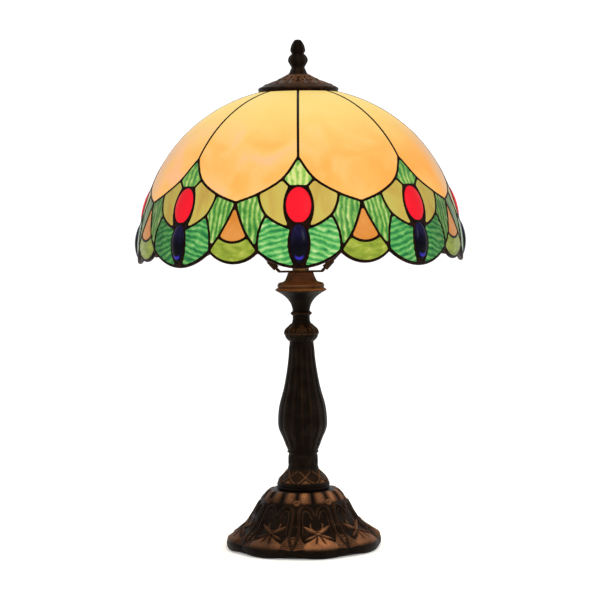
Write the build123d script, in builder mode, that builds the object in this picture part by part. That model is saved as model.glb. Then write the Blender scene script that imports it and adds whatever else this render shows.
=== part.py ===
from build123d import *
import os
from math import cos, radians, sin

# Stained glass table lamp: a leaded dome shade of eight equal bays on a cast baluster stand.
# Millimetres, +Z up. The origin is on the lamp's axis, on the table under the felt pad.
# The front of the lamp faces -Y and the mains cord leaves the foot at the back, +Y.

os.makedirs("parts", exist_ok=True)

# ---------------------------------------------------------------- driving dimensions
BAYS = 8                  # equal bays of the shade
BAY = 360 / BAYS          # angle of one bay, degrees
DOME_Z = 281.0            # height of the dome's centre, which every seam points at
LEAD_W = 2.6              # width of a solder line
LEAD_T = 4.4              # thickness of the lattice, through the shade
GLASS_T = 2.8             # thickness of the glass
GLASS_DEPTH = 0.8         # the glass lies this far under the solder's crown
SNUG = 0.05               # gap between a pane and its window in the lattice
CROWN_EL = 75.2           # elevation of the shade's top edge, seen from the dome's centre
SKIRT_EL = -9.0           # elevation just under the lowest scallop

PIPE_R = 5.0              # M10 lamp pipe
PIPE_BORE_R = 3.5
BORE_R = PIPE_R + 0.1     # bore of everything that slides over the pipe
CORD_R = 2.6
CORD_Z = 7.0              # height of the cord where it leaves the foot
TABLE_CORD_Z = CORD_R + 0.1

FELT_T = 2.6
PLATE_T = 1.5
PLATE_SCREWS = 3
PLATE_SCREW_R = 52.0      # distance of the bottom plate's screws from the axis
FOOT_RIM = 0.6            # the foot's rim stands this far above the felt's underside
FOOT_TOP = 54.0           # top of the foot casting
SPIGOT_Z = 52.0           # bottom of the recess that the column's spigot drops into
RECESS_R = 12.0           # radius of that recess
SPIGOT_R = RECESS_R - 0.2
WASHER_TOP = 47.5         # underside of the foot's roof, where the pipe's washer bears
COLUMN_TOP = 190.0
KNOP_TOP = 208.0
CUP_TOP = 243.0
COVER_TOP = 253.6
SADDLE_T = 1.6
SADDLE_TOP = COVER_TOP + SADDLE_T
PIPE_TOP = 267.0

HARP_ROD_R = 1.9
HARP_SLOPE = 47.0         # rise of the saddle prongs, degrees
HARP_HALF_W = 50.0        # half width of the harp at its widest
HARP_TOP = 411.0
PRONG_X = 19.5            # where the saddle strip turns up

BOSS_Z = 408.0            # underside of the harp's top boss
BOSS_T = 5.9
SHOULDER_TOP = 416.0      # the stud's shoulder, which carries the shade
STUD_R = 3.1
CAP_Z = 420.0             # underside of the heat cap's rim
CAP_RAYS = 16             # rays of the heat cap's pierced pattern
FINIAL_Z = 434.7

INSULATOR_Z = 279.2       # underside of the lampholder's porcelain
CONTACT_Z = INSULATOR_Z + 3
TERMINAL_R = 11.5         # distance of the terminal screws from the axis
BULB_Z = 284.6            # tip of the bulb's contact
BULB_CAP_Z = 290.4        # bottom edge of the bulb's screw cap
SWITCH_Y = 125.0          # middle of the in-line switch
PLUG_Y = 222.0            # the plug lies behind the lamp, parallel to X


# ---------------------------------------------------------------- helpers
def turned(outline):
    """A solid of revolution about Z from a closed outline of (radius, height) corners."""
    with BuildPart() as part:
        with BuildSketch(Plane.XZ):
            with BuildLine():
                Polyline(*outline, close=True)
            make_face()
        revolve(axis=Axis.Z)
    return part.part


def turned_curve(curve, corners):
    """A solid of revolution whose skin is a smooth curve, closed by straight corners."""
    with BuildPart() as part:
        with BuildSketch(Plane.XZ):
            with BuildLine():
                Spline(*curve)
                Polyline(curve[-1], *corners, curve[0])
            make_face()
        revolve(axis=Axis.Z)
    return part.part


def tube(r_out, r_in, z0, z1):
    """A plain tube on the lamp's axis."""
    return turned([(r_in, z0), (r_out, z0), (r_out, z1), (r_in, z1)])


def write(name, part):
    """Labels a finished piece and writes it as one STEP file."""
    part.label = name
    export_step(part, f"parts/{name}.step")


# ---------------------------------------------------------------- foot
FOOT_SKIN = [(27, FOOT_TOP), (33, 51.6), (40.6, 41.6), (47.4, 30.3), (53.8, 21.4), (62.4, 15), (70.6, 9.8)]

with BuildPart() as base_foot:
    add(turned_curve(
        FOOT_SKIN,
        [(72, 7), (71.8, 2.8), (70.4, FOOT_RIM), (65.5, FOOT_RIM), (65.5, 5), (57, 11.2), (48.5, 19),
         (43.2, 28.6), (36.6, 39.8), (29, WASHER_TOP), (BORE_R, WASHER_TOP), (BORE_R, SPIGOT_Z),
         (RECESS_R, SPIGOT_Z), (RECESS_R, FOOT_TOP)],
    ))
    # bosses that take the bottom plate's screws
    with BuildSketch(Plane.XY.offset(FELT_T + PLATE_T)):
        with PolarLocations(PLATE_SCREW_R, PLATE_SCREWS, start_angle=-90):
            Circle(4)
    extrude(amount=13.5)
    with BuildSketch(Plane.XY.offset(FELT_T + PLATE_T)):
        with PolarLocations(PLATE_SCREW_R, PLATE_SCREWS, start_angle=-90):
            Circle(1.65)
    extrude(amount=9, mode=Mode.SUBTRACT)
    # cord outlet through the back of the skirt
    with BuildSketch(Plane(origin=(0, 50, CORD_Z), x_dir=(1, 0, 0), z_dir=(0, 1, 0))):
        Circle(3.6)
    extrude(amount=30, mode=Mode.SUBTRACT)
write("base_foot", base_foot.part)

with BuildPart() as felt_pad:
    with BuildSketch():
        Circle(63)
        with PolarLocations(PLATE_SCREW_R, PLATE_SCREWS, start_angle=-90):
            Circle(4.5, mode=Mode.SUBTRACT)
    extrude(amount=FELT_T)
write("felt_pad", felt_pad.part)

with BuildPart() as bottom_plate:
    with BuildSketch(Plane.XY.offset(FELT_T)):
        Circle(64)
        with PolarLocations(PLATE_SCREW_R, PLATE_SCREWS, start_angle=-90):
            Circle(1.9, mode=Mode.SUBTRACT)
    extrude(amount=PLATE_T)
write("bottom_plate", bottom_plate.part)

with BuildPart() as plate_screws:
    with BuildSketch(Plane.XY.offset(FOOT_RIM)):
        with PolarLocations(PLATE_SCREW_R, PLATE_SCREWS, start_angle=-90):
            Circle(3.6)
    extrude(amount=FELT_T - FOOT_RIM)
    with BuildSketch(Plane.XY.offset(FELT_T)):
        with PolarLocations(PLATE_SCREW_R, PLATE_SCREWS, start_angle=-90):
            Circle(1.6)
    extrude(amount=9)
    with BuildSketch(Plane.XY.offset(FOOT_RIM)):
        with PolarLocations(PLATE_SCREW_R, PLATE_SCREWS, start_angle=-90):
            Rectangle(5, 0.9)
            Rectangle(0.9, 5)
    extrude(amount=1.1, mode=Mode.SUBTRACT)
write("plate_screws", plate_screws.part)

with BuildPart() as ballast_ring:
    with BuildSketch(Plane.XY.offset(FELT_T + PLATE_T)):
        Circle(41)
        Circle(16, mode=Mode.SUBTRACT)
        with Locations((0, 30)):
            Rectangle(9, 40, mode=Mode.SUBTRACT)
    extrude(amount=15)
    chamfer(ballast_ring.faces().sort_by(Axis.Z)[-1].outer_wire().edges(), length=1.5)
write("ballast_ring", ballast_ring.part)

# ---------------------------------------------------------------- pipe and its nut
write("lamp_pipe", tube(PIPE_R, PIPE_BORE_R, 34, PIPE_TOP))
write("pipe_washer", tube(11, PIPE_R + 0.05, WASHER_TOP - 1.5, WASHER_TOP))

with BuildPart() as pipe_nut:
    with BuildSketch(Plane.XY.offset(WASHER_TOP - 7.5)):
        RegularPolygon(radius=8, side_count=6, major_radius=False)
        Circle(PIPE_R + 0.02, mode=Mode.SUBTRACT)
    extrude(amount=6)
write("pipe_nut", pipe_nut.part)

# ---------------------------------------------------------------- column castings
column_skin = [(13.2, 84.6), (13.9, 89.5), (17.4, 99.6), (21.4, 109), (22.3, 117.3), (20.9, 131),
               (16.6, 147), (13.6, 163), (11.8, 177), (11.0, 190)]
with BuildPart() as column_vase:
    add(turned_curve(
        column_skin,
        [(BORE_R, COLUMN_TOP), (BORE_R, SPIGOT_Z + 0.2), (SPIGOT_R, SPIGOT_Z + 0.2),
         (SPIGOT_R, FOOT_TOP), (23.6, FOOT_TOP), (24.4, 56.5), (24.2, 60), (20, 65.6),
         (15.4, 71), (13.4, 77)],
    ))
write("column_vase", column_vase.part)

write("column_knop", turned_curve(
    [(10.8, COLUMN_TOP), (12.6, 191.4), (14.6, 194.2), (15.5, 198), (14.4, 201.2), (11.4, 204), (9.2, 206.4),
     (8.6, KNOP_TOP)],
    [(BORE_R, KNOP_TOP), (BORE_R, COLUMN_TOP)],
))

write("socket_cup", turned_curve(
    [(8.0, 219.2), (9.6, 224.6), (13, 229.6), (17.6, 233.6), (23.3, 237.4)],
    [(22.2, 239), (21.2, 239.4), (21.2, CUP_TOP), (BORE_R, CUP_TOP), (BORE_R, KNOP_TOP),
     (8.5, KNOP_TOP), (8.0, 211), (8.0, 214), (9.6, 215), (9.6, 217), (8.0, 218)],
))

write("cup_cover", turned_curve(
    [(20.6, 243.6), (15.4, 245.4), (13.2, 248.6), (12, 251.4), (11.2, COVER_TOP)],
    [(BORE_R, COVER_TOP), (BORE_R, CUP_TOP), (20.6, CUP_TOP)],
))

# ---------------------------------------------------------------- harp saddle and nut
slope = radians(HARP_SLOPE)
PRONG_START = (PRONG_X, COVER_TOP + SADDLE_T / 2)


def along_prong(distance, side=1):
    """A point of the XZ plane on the prong's axis, at a distance from the bend."""
    return (side * (PRONG_START[0] + distance * cos(slope)), 0, PRONG_START[1] + distance * sin(slope))


def prong_plane(distance, side):
    """A plane across the prong, its normal pointing up the prong."""
    return Plane(origin=along_prong(distance, side), x_dir=(0, 1, 0),
                 z_dir=(side * cos(slope), 0, sin(slope)))


with BuildPart() as harp_saddle:
    with BuildSketch(Plane.XY.offset(COVER_TOP)):
        Rectangle(2 * PRONG_X + 1, 9)
        Circle(9.5)
        Circle(BORE_R, mode=Mode.SUBTRACT)
    extrude(amount=SADDLE_T)
    for side in (-1, 1):
        with BuildSketch(prong_plane(-0.6, side)):
            Rectangle(9, SADDLE_T)
        extrude(amount=2.4)
        with BuildSketch(prong_plane(0, side)):
            Circle(1.4)
        extrude(amount=14)
write("harp_saddle", harp_saddle.part)

with BuildPart() as saddle_nut:
    with BuildSketch(Plane.XY.offset(SADDLE_TOP)):
        RegularPolygon(radius=6.6, side_count=6, major_radius=False)
        Circle(PIPE_R + 0.02, mode=Mode.SUBTRACT)
    extrude(amount=3.6)
write("saddle_nut", saddle_nut.part)

# ---------------------------------------------------------------- harp
HARP_FOOT = 8.0           # the rod starts this far up the prong
STRAIGHT_END = 27.0       # the rod leaves the prong's line here
knee = along_prong(STRAIGHT_END)
knee_r = (HARP_HALF_W - knee[0]) / (1 - sin(slope))
knee_z = knee[2] + knee_r * cos(slope)
arch_z = HARP_TOP - HARP_HALF_W

with BuildPart() as harp_bow:
    with BuildLine():
        l1 = Line(along_prong(HARP_FOOT, -1), along_prong(STRAIGHT_END, -1))
        l2 = TangentArc(l1 @ 1, (-HARP_HALF_W, 0, knee_z), tangent=l1 % 1)
        l3 = Line(l2 @ 1, (-HARP_HALF_W, 0, arch_z))
        l4 = TangentArc(l3 @ 1, (0, 0, HARP_TOP), tangent=l3 % 1)
        l5 = TangentArc(l4 @ 1, (HARP_HALF_W, 0, arch_z), tangent=l4 % 1)
        l6 = Line(l5 @ 1, (HARP_HALF_W, 0, knee_z))
        l7 = TangentArc(l6 @ 1, along_prong(STRAIGHT_END), tangent=l6 % 1)
        l8 = Line(l7 @ 1, along_prong(HARP_FOOT))
    with BuildSketch(Plane(origin=l1 @ 0, x_dir=(0, 1, 0), z_dir=l1 % 0)):
        Circle(HARP_ROD_R)
    sweep()
    # boss at the top that the swivelling stud is riveted through
    with BuildSketch(Plane.XY.offset(BOSS_Z)):
        Circle(5.5)
    extrude(amount=BOSS_T)
    with BuildSketch(Plane.XY.offset(400)):
        Circle(2.45)
    extrude(amount=30, mode=Mode.SUBTRACT)
    # sockets in both ends, over the saddle's prongs
    for side in (-1, 1):
        with BuildSketch(prong_plane(HARP_FOOT - 1, side)):
            Circle(1.45)
        extrude(amount=7.2, mode=Mode.SUBTRACT)
write("harp_bow", harp_bow.part)

for side, name in ((-1, "left_ferrule"), (1, "right_ferrule")):
    with BuildPart() as ferrule:
        with BuildSketch(prong_plane(4, side)):
            Circle(2.9)
            Circle(HARP_ROD_R + 0.05, mode=Mode.SUBTRACT)
        extrude(amount=10)
    write(name, ferrule.part)

write("harp_stud", turned([
    (0, 406.2), (3.6, 406.2), (3.6, 407.9), (2.4, 407.9), (2.4, 414), (7.5, 414),
    (7.5, SHOULDER_TOP), (STUD_R, SHOULDER_TOP), (STUD_R, 441.4), (STUD_R - 0.6, 442), (0, 442),
]))

# ---------------------------------------------------------------- lampholder
write("socket_cap", turned([
    (PIPE_R + 0.05, 259.2), (7.2, 259.2), (7.2, 266), (11, 268.4), (17, 273.6), (17.9, 279),
    (17, 279), (16.2, 274.6), (10.6, 269.8), (6.6, 267.4), (PIPE_R + 0.05, 267.4),
]))
write("socket_shell", turned([
    (18.1, 276), (19, 276), (19, 279.5), (19.5, 280.3), (19, 281.1), (19, 304), (19.6, 305),
    (19.6, 308), (18.8, 308), (18.8, 305.3), (18.1, 304.4),
]))
write("socket_liner", tube(18.0, 17.2, 280, 304))

with BuildPart() as socket_insulator:
    with BuildSketch(Plane.XY.offset(INSULATOR_Z)):
        Circle(17)
        with PolarLocations(TERMINAL_R, 2):
            Circle(1.65, mode=Mode.SUBTRACT)
        with PolarLocations(TERMINAL_R, 2, start_angle=90):
            Circle(1.3, mode=Mode.SUBTRACT)
    extrude(amount=CONTACT_Z - INSULATOR_Z)
write("socket_insulator", socket_insulator.part)

write("socket_screw_shell", turned([
    (13.25, 285.2), (14.9, 285.2), (14.9, 286.4), (14.0, 287), (14.0, 303), (14.6, 304.2),
    (13.9, 304.6), (13.25, 303.6),
]))

with BuildPart() as socket_contact:
    with BuildSketch(Plane.XY.offset(CONTACT_Z)):
        with Locations((5.5, 0)):
            Rectangle(17, 5)
        with Locations((12, 0)):
            Circle(1.65, mode=Mode.SUBTRACT)
    extrude(amount=0.6)
    with BuildSketch(Plane.XY.offset(CONTACT_Z + 0.6)):
        Rectangle(5, 5)
    extrude(amount=1.7)
    with BuildSketch(Plane.XY.offset(CONTACT_Z)):
        with Locations((-12.9, 0)):
            Rectangle(3.4, 5)
    extrude(amount=2.9)
write("socket_contact", socket_contact.part)

with BuildPart() as terminal_screws:
    with BuildSketch(Plane.XY.offset(277)):
        with PolarLocations(TERMINAL_R, 2):
            Circle(3)
    extrude(amount=2.1)
    with BuildSketch(Plane.XY.offset(279.1)):
        with PolarLocations(TERMINAL_R, 2):
            Circle(1.5)
    extrude(amount=3)
write("terminal_screws", terminal_screws.part)

with BuildPart() as lead_wires:
    for side in (-1, 1):
        with BuildLine():
            wire_path = Spline((side * 1.1, 0, PIPE_TOP + 1.2), (side * 3.5, 0, 271.5), (side * 11, 0, 275.9),
                               tangents=((0, 0, 1), (side, 0, 0.25)))
        with BuildSketch(Plane(origin=wire_path @ 0, z_dir=wire_path % 0)):
            Circle(0.95)
        sweep(path=wire_path)
write("lead_wires", lead_wires.part)

# ---------------------------------------------------------------- bulb
write("bulb_contact", turned([
    (0, BULB_Z), (2.6, BULB_Z), (4.4, BULB_Z + 1.2), (4.4, BULB_Z + 2.2), (0, BULB_Z + 2.2),
]))
write("bulb_insulator", turned([
    (0, BULB_Z + 2.2), (6, BULB_Z + 2.2), (9.6, 289.6), (9.6, BULB_CAP_Z), (0, BULB_CAP_Z),
]))
write("bulb_cap", turned([
    (8.8, BULB_CAP_Z), (9.8, BULB_CAP_Z), (11.8, 292), (13.2, 293.2), (13.2, 307.6), (13.1, 311), (12.1, 311),
    (12.1, 293.8), (8.8, 291.6),
]))
write("bulb_glass", turned_curve(
    [(12, 306), (13.6, 318), (21, 333), (28.6, 348), (30, 361), (26.5, 376), (17, 387.5), (0, 391.8)],
    [(0, 390.6), (16.4, 386.4), (25.4, 375.3), (28.8, 361), (27.4, 348.4), (19.8, 333.6), (12.4, 318.4),
     (10.8, 306)],
))
write("bulb_stem", turned([
    (0, 304), (4, 304), (8.4, 300), (9.4, 300), (9.4, 301.6), (5, 306), (2.2, 318), (2.2, 330), (0, 331),
]))

with BuildPart() as bulb_filaments:
    with BuildSketch(Plane.XY.offset(334)):
        with PolarLocations(9, 4):
            Circle(0.9)
    extrude(amount=36)
    for z in (332.4, 370):
        with BuildSketch(Plane.XY.offset(z)):
            Circle(10)
            Circle(8, mode=Mode.SUBTRACT)
            with PolarLocations(4.5, 4):
                Rectangle(9.4, 0.9)
        extrude(amount=1.6)
    with BuildSketch(Plane.XY.offset(331)):
        Circle(1.2)
    extrude(amount=40)
write("bulb_filaments", bulb_filaments.part)


# ---------------------------------------------------------------- shade: the dome
# The dome's outer skin, as elevation and distance from the dome's centre.
DOME = [(SKIRT_EL, 149.8), (0, 149.6), (5, 148.4), (11, 146.6), (20, 145.4), (35, 145.0), (55, 143.6),
        (CROWN_EL, 142.3)]


def dome_shell(out, thick, arc):
    """A sector of the dome, its skin `out` inside the outer skin, centred on the front."""
    def curve(depth):
        return [((rho - depth) * cos(radians(el)), DOME_Z + (rho - depth) * sin(radians(el)))
                for el, rho in DOME]
    outer, inner = curve(out), curve(out + thick)
    with BuildPart() as shell:
        with BuildSketch(Plane.XZ.rotated((0, 0, -90 - arc / 2))):
            with BuildLine():
                Spline(*outer)
                Line(outer[-1], inner[-1])
                Spline(*reversed(inner))
                Line(inner[0], outer[0])
            make_face()
        revolve(axis=Axis.Z, revolution_arc=arc)
    return shell.part


class View:
    """A plane facing the dome's centre from one direction: azimuth from the front, and elevation.

    A direction (azimuth, elevation) maps to this plane by central projection, so that a
    meridian is a straight line in it, and every seam cut with it points at the centre."""

    distance = 146.0

    def __init__(self, azimuth, elevation):
        az, el = radians(azimuth), radians(elevation)
        self.normal = Vector(sin(az) * cos(el), -cos(az) * cos(el), sin(el))
        self.right = Vector(cos(az), sin(az), 0)
        self.up = self.normal.cross(self.right)

    def plane(self, distance):
        centre = Vector(0, 0, DOME_Z) + self.normal * distance
        return Plane(origin=centre, x_dir=self.right, z_dir=self.normal)

    def __call__(self, azimuth, elevation):
        az, el = radians(azimuth), radians(elevation)
        ray = Vector(sin(az) * cos(el), -cos(az) * cos(el), sin(el))
        reach = self.distance / ray.dot(self.normal)
        return (ray.dot(self.right) * reach, ray.dot(self.up) * reach)

    def cone(self, face):
        """A solid whose sides run from the dome's centre through the face's edges."""
        with BuildPart() as cone:
            for distance in (70.0, 175.0):
                with BuildSketch(self.plane(distance)):
                    add(scale(face, by=distance / self.distance))
            loft(ruled=True)
        return cone.part


# Seam corners of one bay as (azimuth, elevation), for the half right of the motif's middle.
J_TOP = (0, 31.8)         # top of the kite, where two big panels part
J_KITE = (5.9, 23.6)      # side corner of the kite
J_GEM = (3.05, 20.7)      # lower corner of the kite, over the red oval
J_OLIVE = (14.3, 18.3)    # outer top corner of the olive wing
J_TIP = (22.5, 15.2)      # bottom tip of the big panel
J_HIP = (11.2, 10.7)      # where shoulder and lower wing part
J_WAIST = (2.4, 6.1)      # between the two ovals
J_DART = (17.3, 3.6)      # lower corner of the dart
J_VALLEY = (13.8, -1.0)   # notch of the rim between two scallops
RED = (14.3, 4.5, 6.35)   # elevation of the red oval's middle, half width and half height
BLUE = (1.3, 2.6, 6.5)


def mirrored(point):
    return (-point[0], point[1])


def shifted(point):
    """The same corner, seen from the middle of the big panel on its right."""
    return (point[0] - BAY / 2, point[1])


def outline_kite(v):
    Polyline(v(*J_TOP), v(*J_KITE), v(*J_GEM))
    ThreePointArc(v(*J_GEM), v(0, 21.2), v(*mirrored(J_GEM)))
    Polyline(v(*mirrored(J_GEM)), v(*mirrored(J_KITE)), v(*J_TOP))


def outline_olive(v):
    ThreePointArc(v(*J_KITE), v(10.1, 20.5), v(*J_OLIVE))
    ThreePointArc(v(*J_OLIVE), v(13.3, 14.3), v(*J_HIP))
    ThreePointArc(v(*J_HIP), v(7.1, 7.9), v(*J_WAIST))
    ThreePointArc(v(*J_WAIST), v(4.9, 14.3), v(*J_GEM))
    Line(v(*J_GEM), v(*J_KITE))


def outline_shoulder(v):
    ThreePointArc(v(*J_OLIVE), v(18.4, 16.55), v(*J_TIP))
    ThreePointArc(v(*J_TIP), v(20.3, 9.4), v(*J_DART))
    Line(v(*J_DART), v(*J_VALLEY))
    ThreePointArc(v(*J_VALLEY), v(13.4, 5.2), v(*J_HIP))
    ThreePointArc(v(*J_HIP), v(13.3, 14.3), v(*J_OLIVE))


def outline_wing(v):
    ThreePointArc(v(*J_WAIST), v(7.1, 7.9), v(*J_HIP))
    ThreePointArc(v(*J_HIP), v(13.4, 5.2), v(*J_VALLEY))
    ThreePointArc(v(*J_VALLEY), v(8.2, -4.5), v(0.9, -6.55))
    ThreePointArc(v(0.9, -6.55), v(2.95, 0.4), v(*J_WAIST))


def outline_dart(v):
    tip, corner = shifted(J_TIP), shifted(J_DART)
    ThreePointArc(v(*tip), v(-2.2, 9.4), v(*corner))
    ThreePointArc(v(*corner), v(0, 1.7), v(*mirrored(corner)))
    ThreePointArc(v(*mirrored(corner)), v(2.2, 9.4), v(*tip))


def outline_lime(v):
    corner, valley = shifted(J_DART), shifted(J_VALLEY)
    ThreePointArc(v(*corner), v(0, 1.7), v(*mirrored(corner)))
    Line(v(*mirrored(corner)), v(*mirrored(valley)))
    ThreePointArc(v(*mirrored(valley)), v(0, -4.8), v(*valley))
    Line(v(*valley), v(*corner))


def outline_panel(v):
    tip = shifted(J_TIP)
    left = [shifted(J_TOP), shifted(J_KITE), shifted(J_OLIVE), tip]
    right = [mirrored(p) for p in left]
    crown_left, crown_right = (-BAY / 2, CROWN_EL), (BAY / 2, CROWN_EL)
    Line(v(*crown_left), v(*left[0]))
    Spline(*[v(*p) for p in left])
    Spline(*[v(*p) for p in reversed(right)])
    Line(v(*right[0]), v(*crown_right))
    ThreePointArc(v(*crown_right), v(0, CROWN_EL), v(*crown_left))


def face_of(outline, view, inset):
    """The pane's outline as a flat face, its edge `inset` inside the middle of the seams."""
    with BuildSketch() as sketch:
        with BuildLine():
            outline(view)
        make_face()
        if inset:
            offset(amount=-inset, kind=Kind.INTERSECTION, mode=Mode.REPLACE)
    return sketch.sketch


def oval_of(middle, half_w, half_h, inset):
    """A jewel's oval, centred on the bay, its edge `inset` inside the middle of its seam."""
    rise = radians(half_h) * View.distance
    width = radians(half_w) * View.distance * cos(radians(middle))
    with BuildSketch() as sketch:
        Ellipse(width - inset, rise - inset)
    return sketch.sketch


# Each kind of pane: its node, the view it is drawn in, its outline, and how it repeats in a bay.
PANES = [
    ("peach_panels", View(0, 42), outline_panel, "between"),
    ("green_kites", View(0, 26), outline_kite, "single"),
    ("olive_wings", View(8, 14), outline_olive, "pair"),
    ("green_shoulders", View(17, 9), outline_shoulder, "pair"),
    ("green_wings", View(8, 2), outline_wing, "pair"),
    ("peach_darts", View(0, 7), outline_dart, "between"),
    ("lime_scallops", View(0, 0), outline_lime, "between"),
]
JEWELS = [("red_ovals", RED), ("blue_ovals", BLUE)]

SECTOR = 80.0             # arc of the shell that the panes and one bay of the lattice are cut from
glass_shell = dome_shell(GLASS_DEPTH, GLASS_T, SECTOR)


def pane(face, view):
    """The part of the glass shell that lies behind a face."""
    with BuildPart() as piece:
        add(view.cone(face))
        add(glass_shell, mode=Mode.INTERSECT)
    return piece.part


windows = []              # the openings of one bay's lattice, one for each pane
for name, view, outline, repeat in PANES:
    glass = pane(face_of(outline, view, LEAD_W / 2 + SNUG), view)
    with BuildPart() as panes:
        with PolarLocations(0, BAYS, start_angle=BAY / 2 if repeat == "between" else 0):
            add(glass)
            if repeat == "pair":
                add(mirror(glass, about=Plane.YZ))
    write(name, panes.part)
    window = view.cone(face_of(outline, view, LEAD_W / 2))
    if repeat == "single":
        windows.append(window)
    elif repeat == "pair":
        windows += [window, mirror(window, about=Plane.YZ)]
    else:
        windows += [Rot(0, 0, BAY / 2) * window, Rot(0, 0, -BAY / 2) * window]

for name, oval in JEWELS:
    view = View(0, oval[0])
    glass = pane(oval_of(*oval, LEAD_W / 2 + SNUG), view)
    with BuildPart() as panes:
        with PolarLocations(0, BAYS):
            add(glass)
    write(name, panes.part)
    windows.append(view.cone(oval_of(*oval, LEAD_W / 2)))

# ---------------------------------------------------------------- shade: the lead lattice
R_SIDE, R_NOTCH, R_SWAG = (22.5, -5.3), (13.9, -1.55), (0, -7.15)     # corners of the scalloped rim


def outline_bay(v):
    """One bay between two meridians, its foot following the two kinds of scallop."""
    Line(v(0, 90), v(*R_SIDE))
    ThreePointArc(v(*R_SIDE), v(17.1, -3.9), v(*R_NOTCH))
    ThreePointArc(v(*R_NOTCH), v(8.2, -5.05), v(*R_SWAG))
    ThreePointArc(v(*R_SWAG), v(-8.2, -5.05), v(*mirrored(R_NOTCH)))
    ThreePointArc(v(*mirrored(R_NOTCH)), v(-17.1, -3.9), v(*mirrored(R_SIDE)))
    Line(v(*mirrored(R_SIDE)), v(0, 90))


bay_view = View(0, 30)
with BuildPart() as bay_lattice:
    add(dome_shell(0, LEAD_T, SECTOR))
    add(bay_view.cone(face_of(outline_bay, bay_view, 0)), mode=Mode.INTERSECT)
    add(windows, mode=Mode.SUBTRACT)

with BuildPart() as shade_lattice:
    with PolarLocations(0, BAYS):
        add(bay_lattice.part)
write("shade_lattice", shade_lattice.part)

# ---------------------------------------------------------------- shade: crown, cap and finial
CROWN_BORE_R = 31.0       # bore of the ring that closes the shade's top edge
crown = radians(CROWN_EL)
crown_rho = DOME[-1][1]
crown_out = (crown_rho * cos(crown) - 0.05, DOME_Z + crown_rho * sin(crown))
crown_in = ((crown_rho - LEAD_T) * cos(crown) - 0.05, DOME_Z + (crown_rho - LEAD_T) * sin(crown))
write("crown_ring", turned([
    (CROWN_BORE_R, crown_in[1]), crown_in, crown_out, (crown_out[0], CAP_Z), (CROWN_BORE_R, CAP_Z),
]))

with BuildPart() as crown_spider:
    with BuildSketch(Plane.XY.offset(SHOULDER_TOP)):
        Circle(9)
        with PolarLocations(CROWN_BORE_R / 2, 3, start_angle=30):
            Rectangle(CROWN_BORE_R, 6)
        Circle(CROWN_BORE_R, mode=Mode.INTERSECT)
        Circle(STUD_R + 0.2, mode=Mode.SUBTRACT)
    extrude(amount=1.6)
write("crown_spider", crown_spider.part)

with BuildPart() as heat_cap:
    add(turned([
        (STUD_R + 0.2, FINIAL_Z), (8.6, FINIAL_Z), (17, 430), (24.4, 426.8), (32, 423.6), (36, 421.6),
        (36.7, 420.8), (36.3, CAP_Z), (34.6, CAP_Z), (31.4, 422.4), (24, 425.5), (16.6, 428.7),
        (8.2, 433.3), (STUD_R + 0.2, 433.3),
    ]))
    # three rings of openings, the middle one between the rays of the others
    with BuildSketch(Plane.XY.offset(415)):
        with PolarLocations(14.6, CAP_RAYS):
            SlotOverall(5, 2.4)
        with PolarLocations(20.8, CAP_RAYS, start_angle=180 / CAP_RAYS):
            SlotOverall(5, 3.2)
        with PolarLocations(26.6, CAP_RAYS):
            Circle(1.8)
    extrude(amount=25, mode=Mode.SUBTRACT)
write("heat_cap", heat_cap.part)

write("finial", turned_curve(
    [(8.8, FINIAL_Z), (6.5, 438), (6.1, 440.8), (8.9, 446.8), (5.4, 452.8), (6.5, 456.4), (4.6, 462.2),
     (0, 466)],
    [(0, 443), (STUD_R + 0.05, 442.4), (STUD_R + 0.05, FINIAL_Z)],
))

# ---------------------------------------------------------------- mains cord
RUN = 18.0                # distance between the folded cord's runs
FIRST_RUN_Y = SWITCH_Y + 61
CORD_BEND = 22.0          # radius of the cord's bend inside the foot
with BuildPart() as power_cord:
    with BuildLine():
        c1 = Line((0, 0, PIPE_TOP), (0, 0, CORD_Z + CORD_BEND))
        c2 = TangentArc(c1 @ 1, (0, CORD_BEND, CORD_Z), tangent=c1 % 1)
        c3 = Line(c2 @ 1, (0, SWITCH_Y - 20, CORD_Z))
    with BuildSketch(Plane(origin=c1 @ 0, z_dir=c1 % 0)):
        Circle(CORD_R)
    sweep()
with BuildPart() as cord_tail:
    with BuildLine():
        t1 = Line((0, SWITCH_Y + 20, CORD_Z), (0, SWITCH_Y + 30, CORD_Z))
        t2 = Spline(t1 @ 1, (0, SWITCH_Y + 47, TABLE_CORD_Z), tangents=((0, 1, 0), (0, 1, 0)))
        t3 = TangentArc(t2 @ 1, (14, FIRST_RUN_Y, TABLE_CORD_Z), tangent=(0, 1, 0))
        t4 = Line(t3 @ 1, (26, FIRST_RUN_Y, TABLE_CORD_Z))
        t5 = TangentArc(t4 @ 1, (26, FIRST_RUN_Y + RUN, TABLE_CORD_Z), tangent=(1, 0, 0))
        t6 = Line(t5 @ 1, (-34, FIRST_RUN_Y + RUN, TABLE_CORD_Z))
        t7 = TangentArc(t6 @ 1, (-34, PLUG_Y, TABLE_CORD_Z), tangent=(-1, 0, 0))
        t8 = Spline(t7 @ 1, (-16, PLUG_Y, CORD_Z), tangents=((1, 0, 0), (1, 0, 0)))
        t9 = Line(t8 @ 1, (-4, PLUG_Y, CORD_Z))
    with BuildSketch(Plane(origin=t1 @ 0, z_dir=t1 % 0)):
        Circle(CORD_R)
    sweep()
write("power_cord", Compound([power_cord.part.solid(), cord_tail.part.solid()]))

with BuildPart() as cord_grommet:
    for y0, r_out, length in ((64.4, 3.55, 7.6), (72, 4.8, 2.2)):
        with BuildSketch(Plane(origin=(0, y0, CORD_Z), x_dir=(1, 0, 0), z_dir=(0, 1, 0))):
            Circle(r_out)
            Circle(CORD_R + 0.05, mode=Mode.SUBTRACT)
        extrude(amount=length)
write("cord_grommet", cord_grommet.part)

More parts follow.
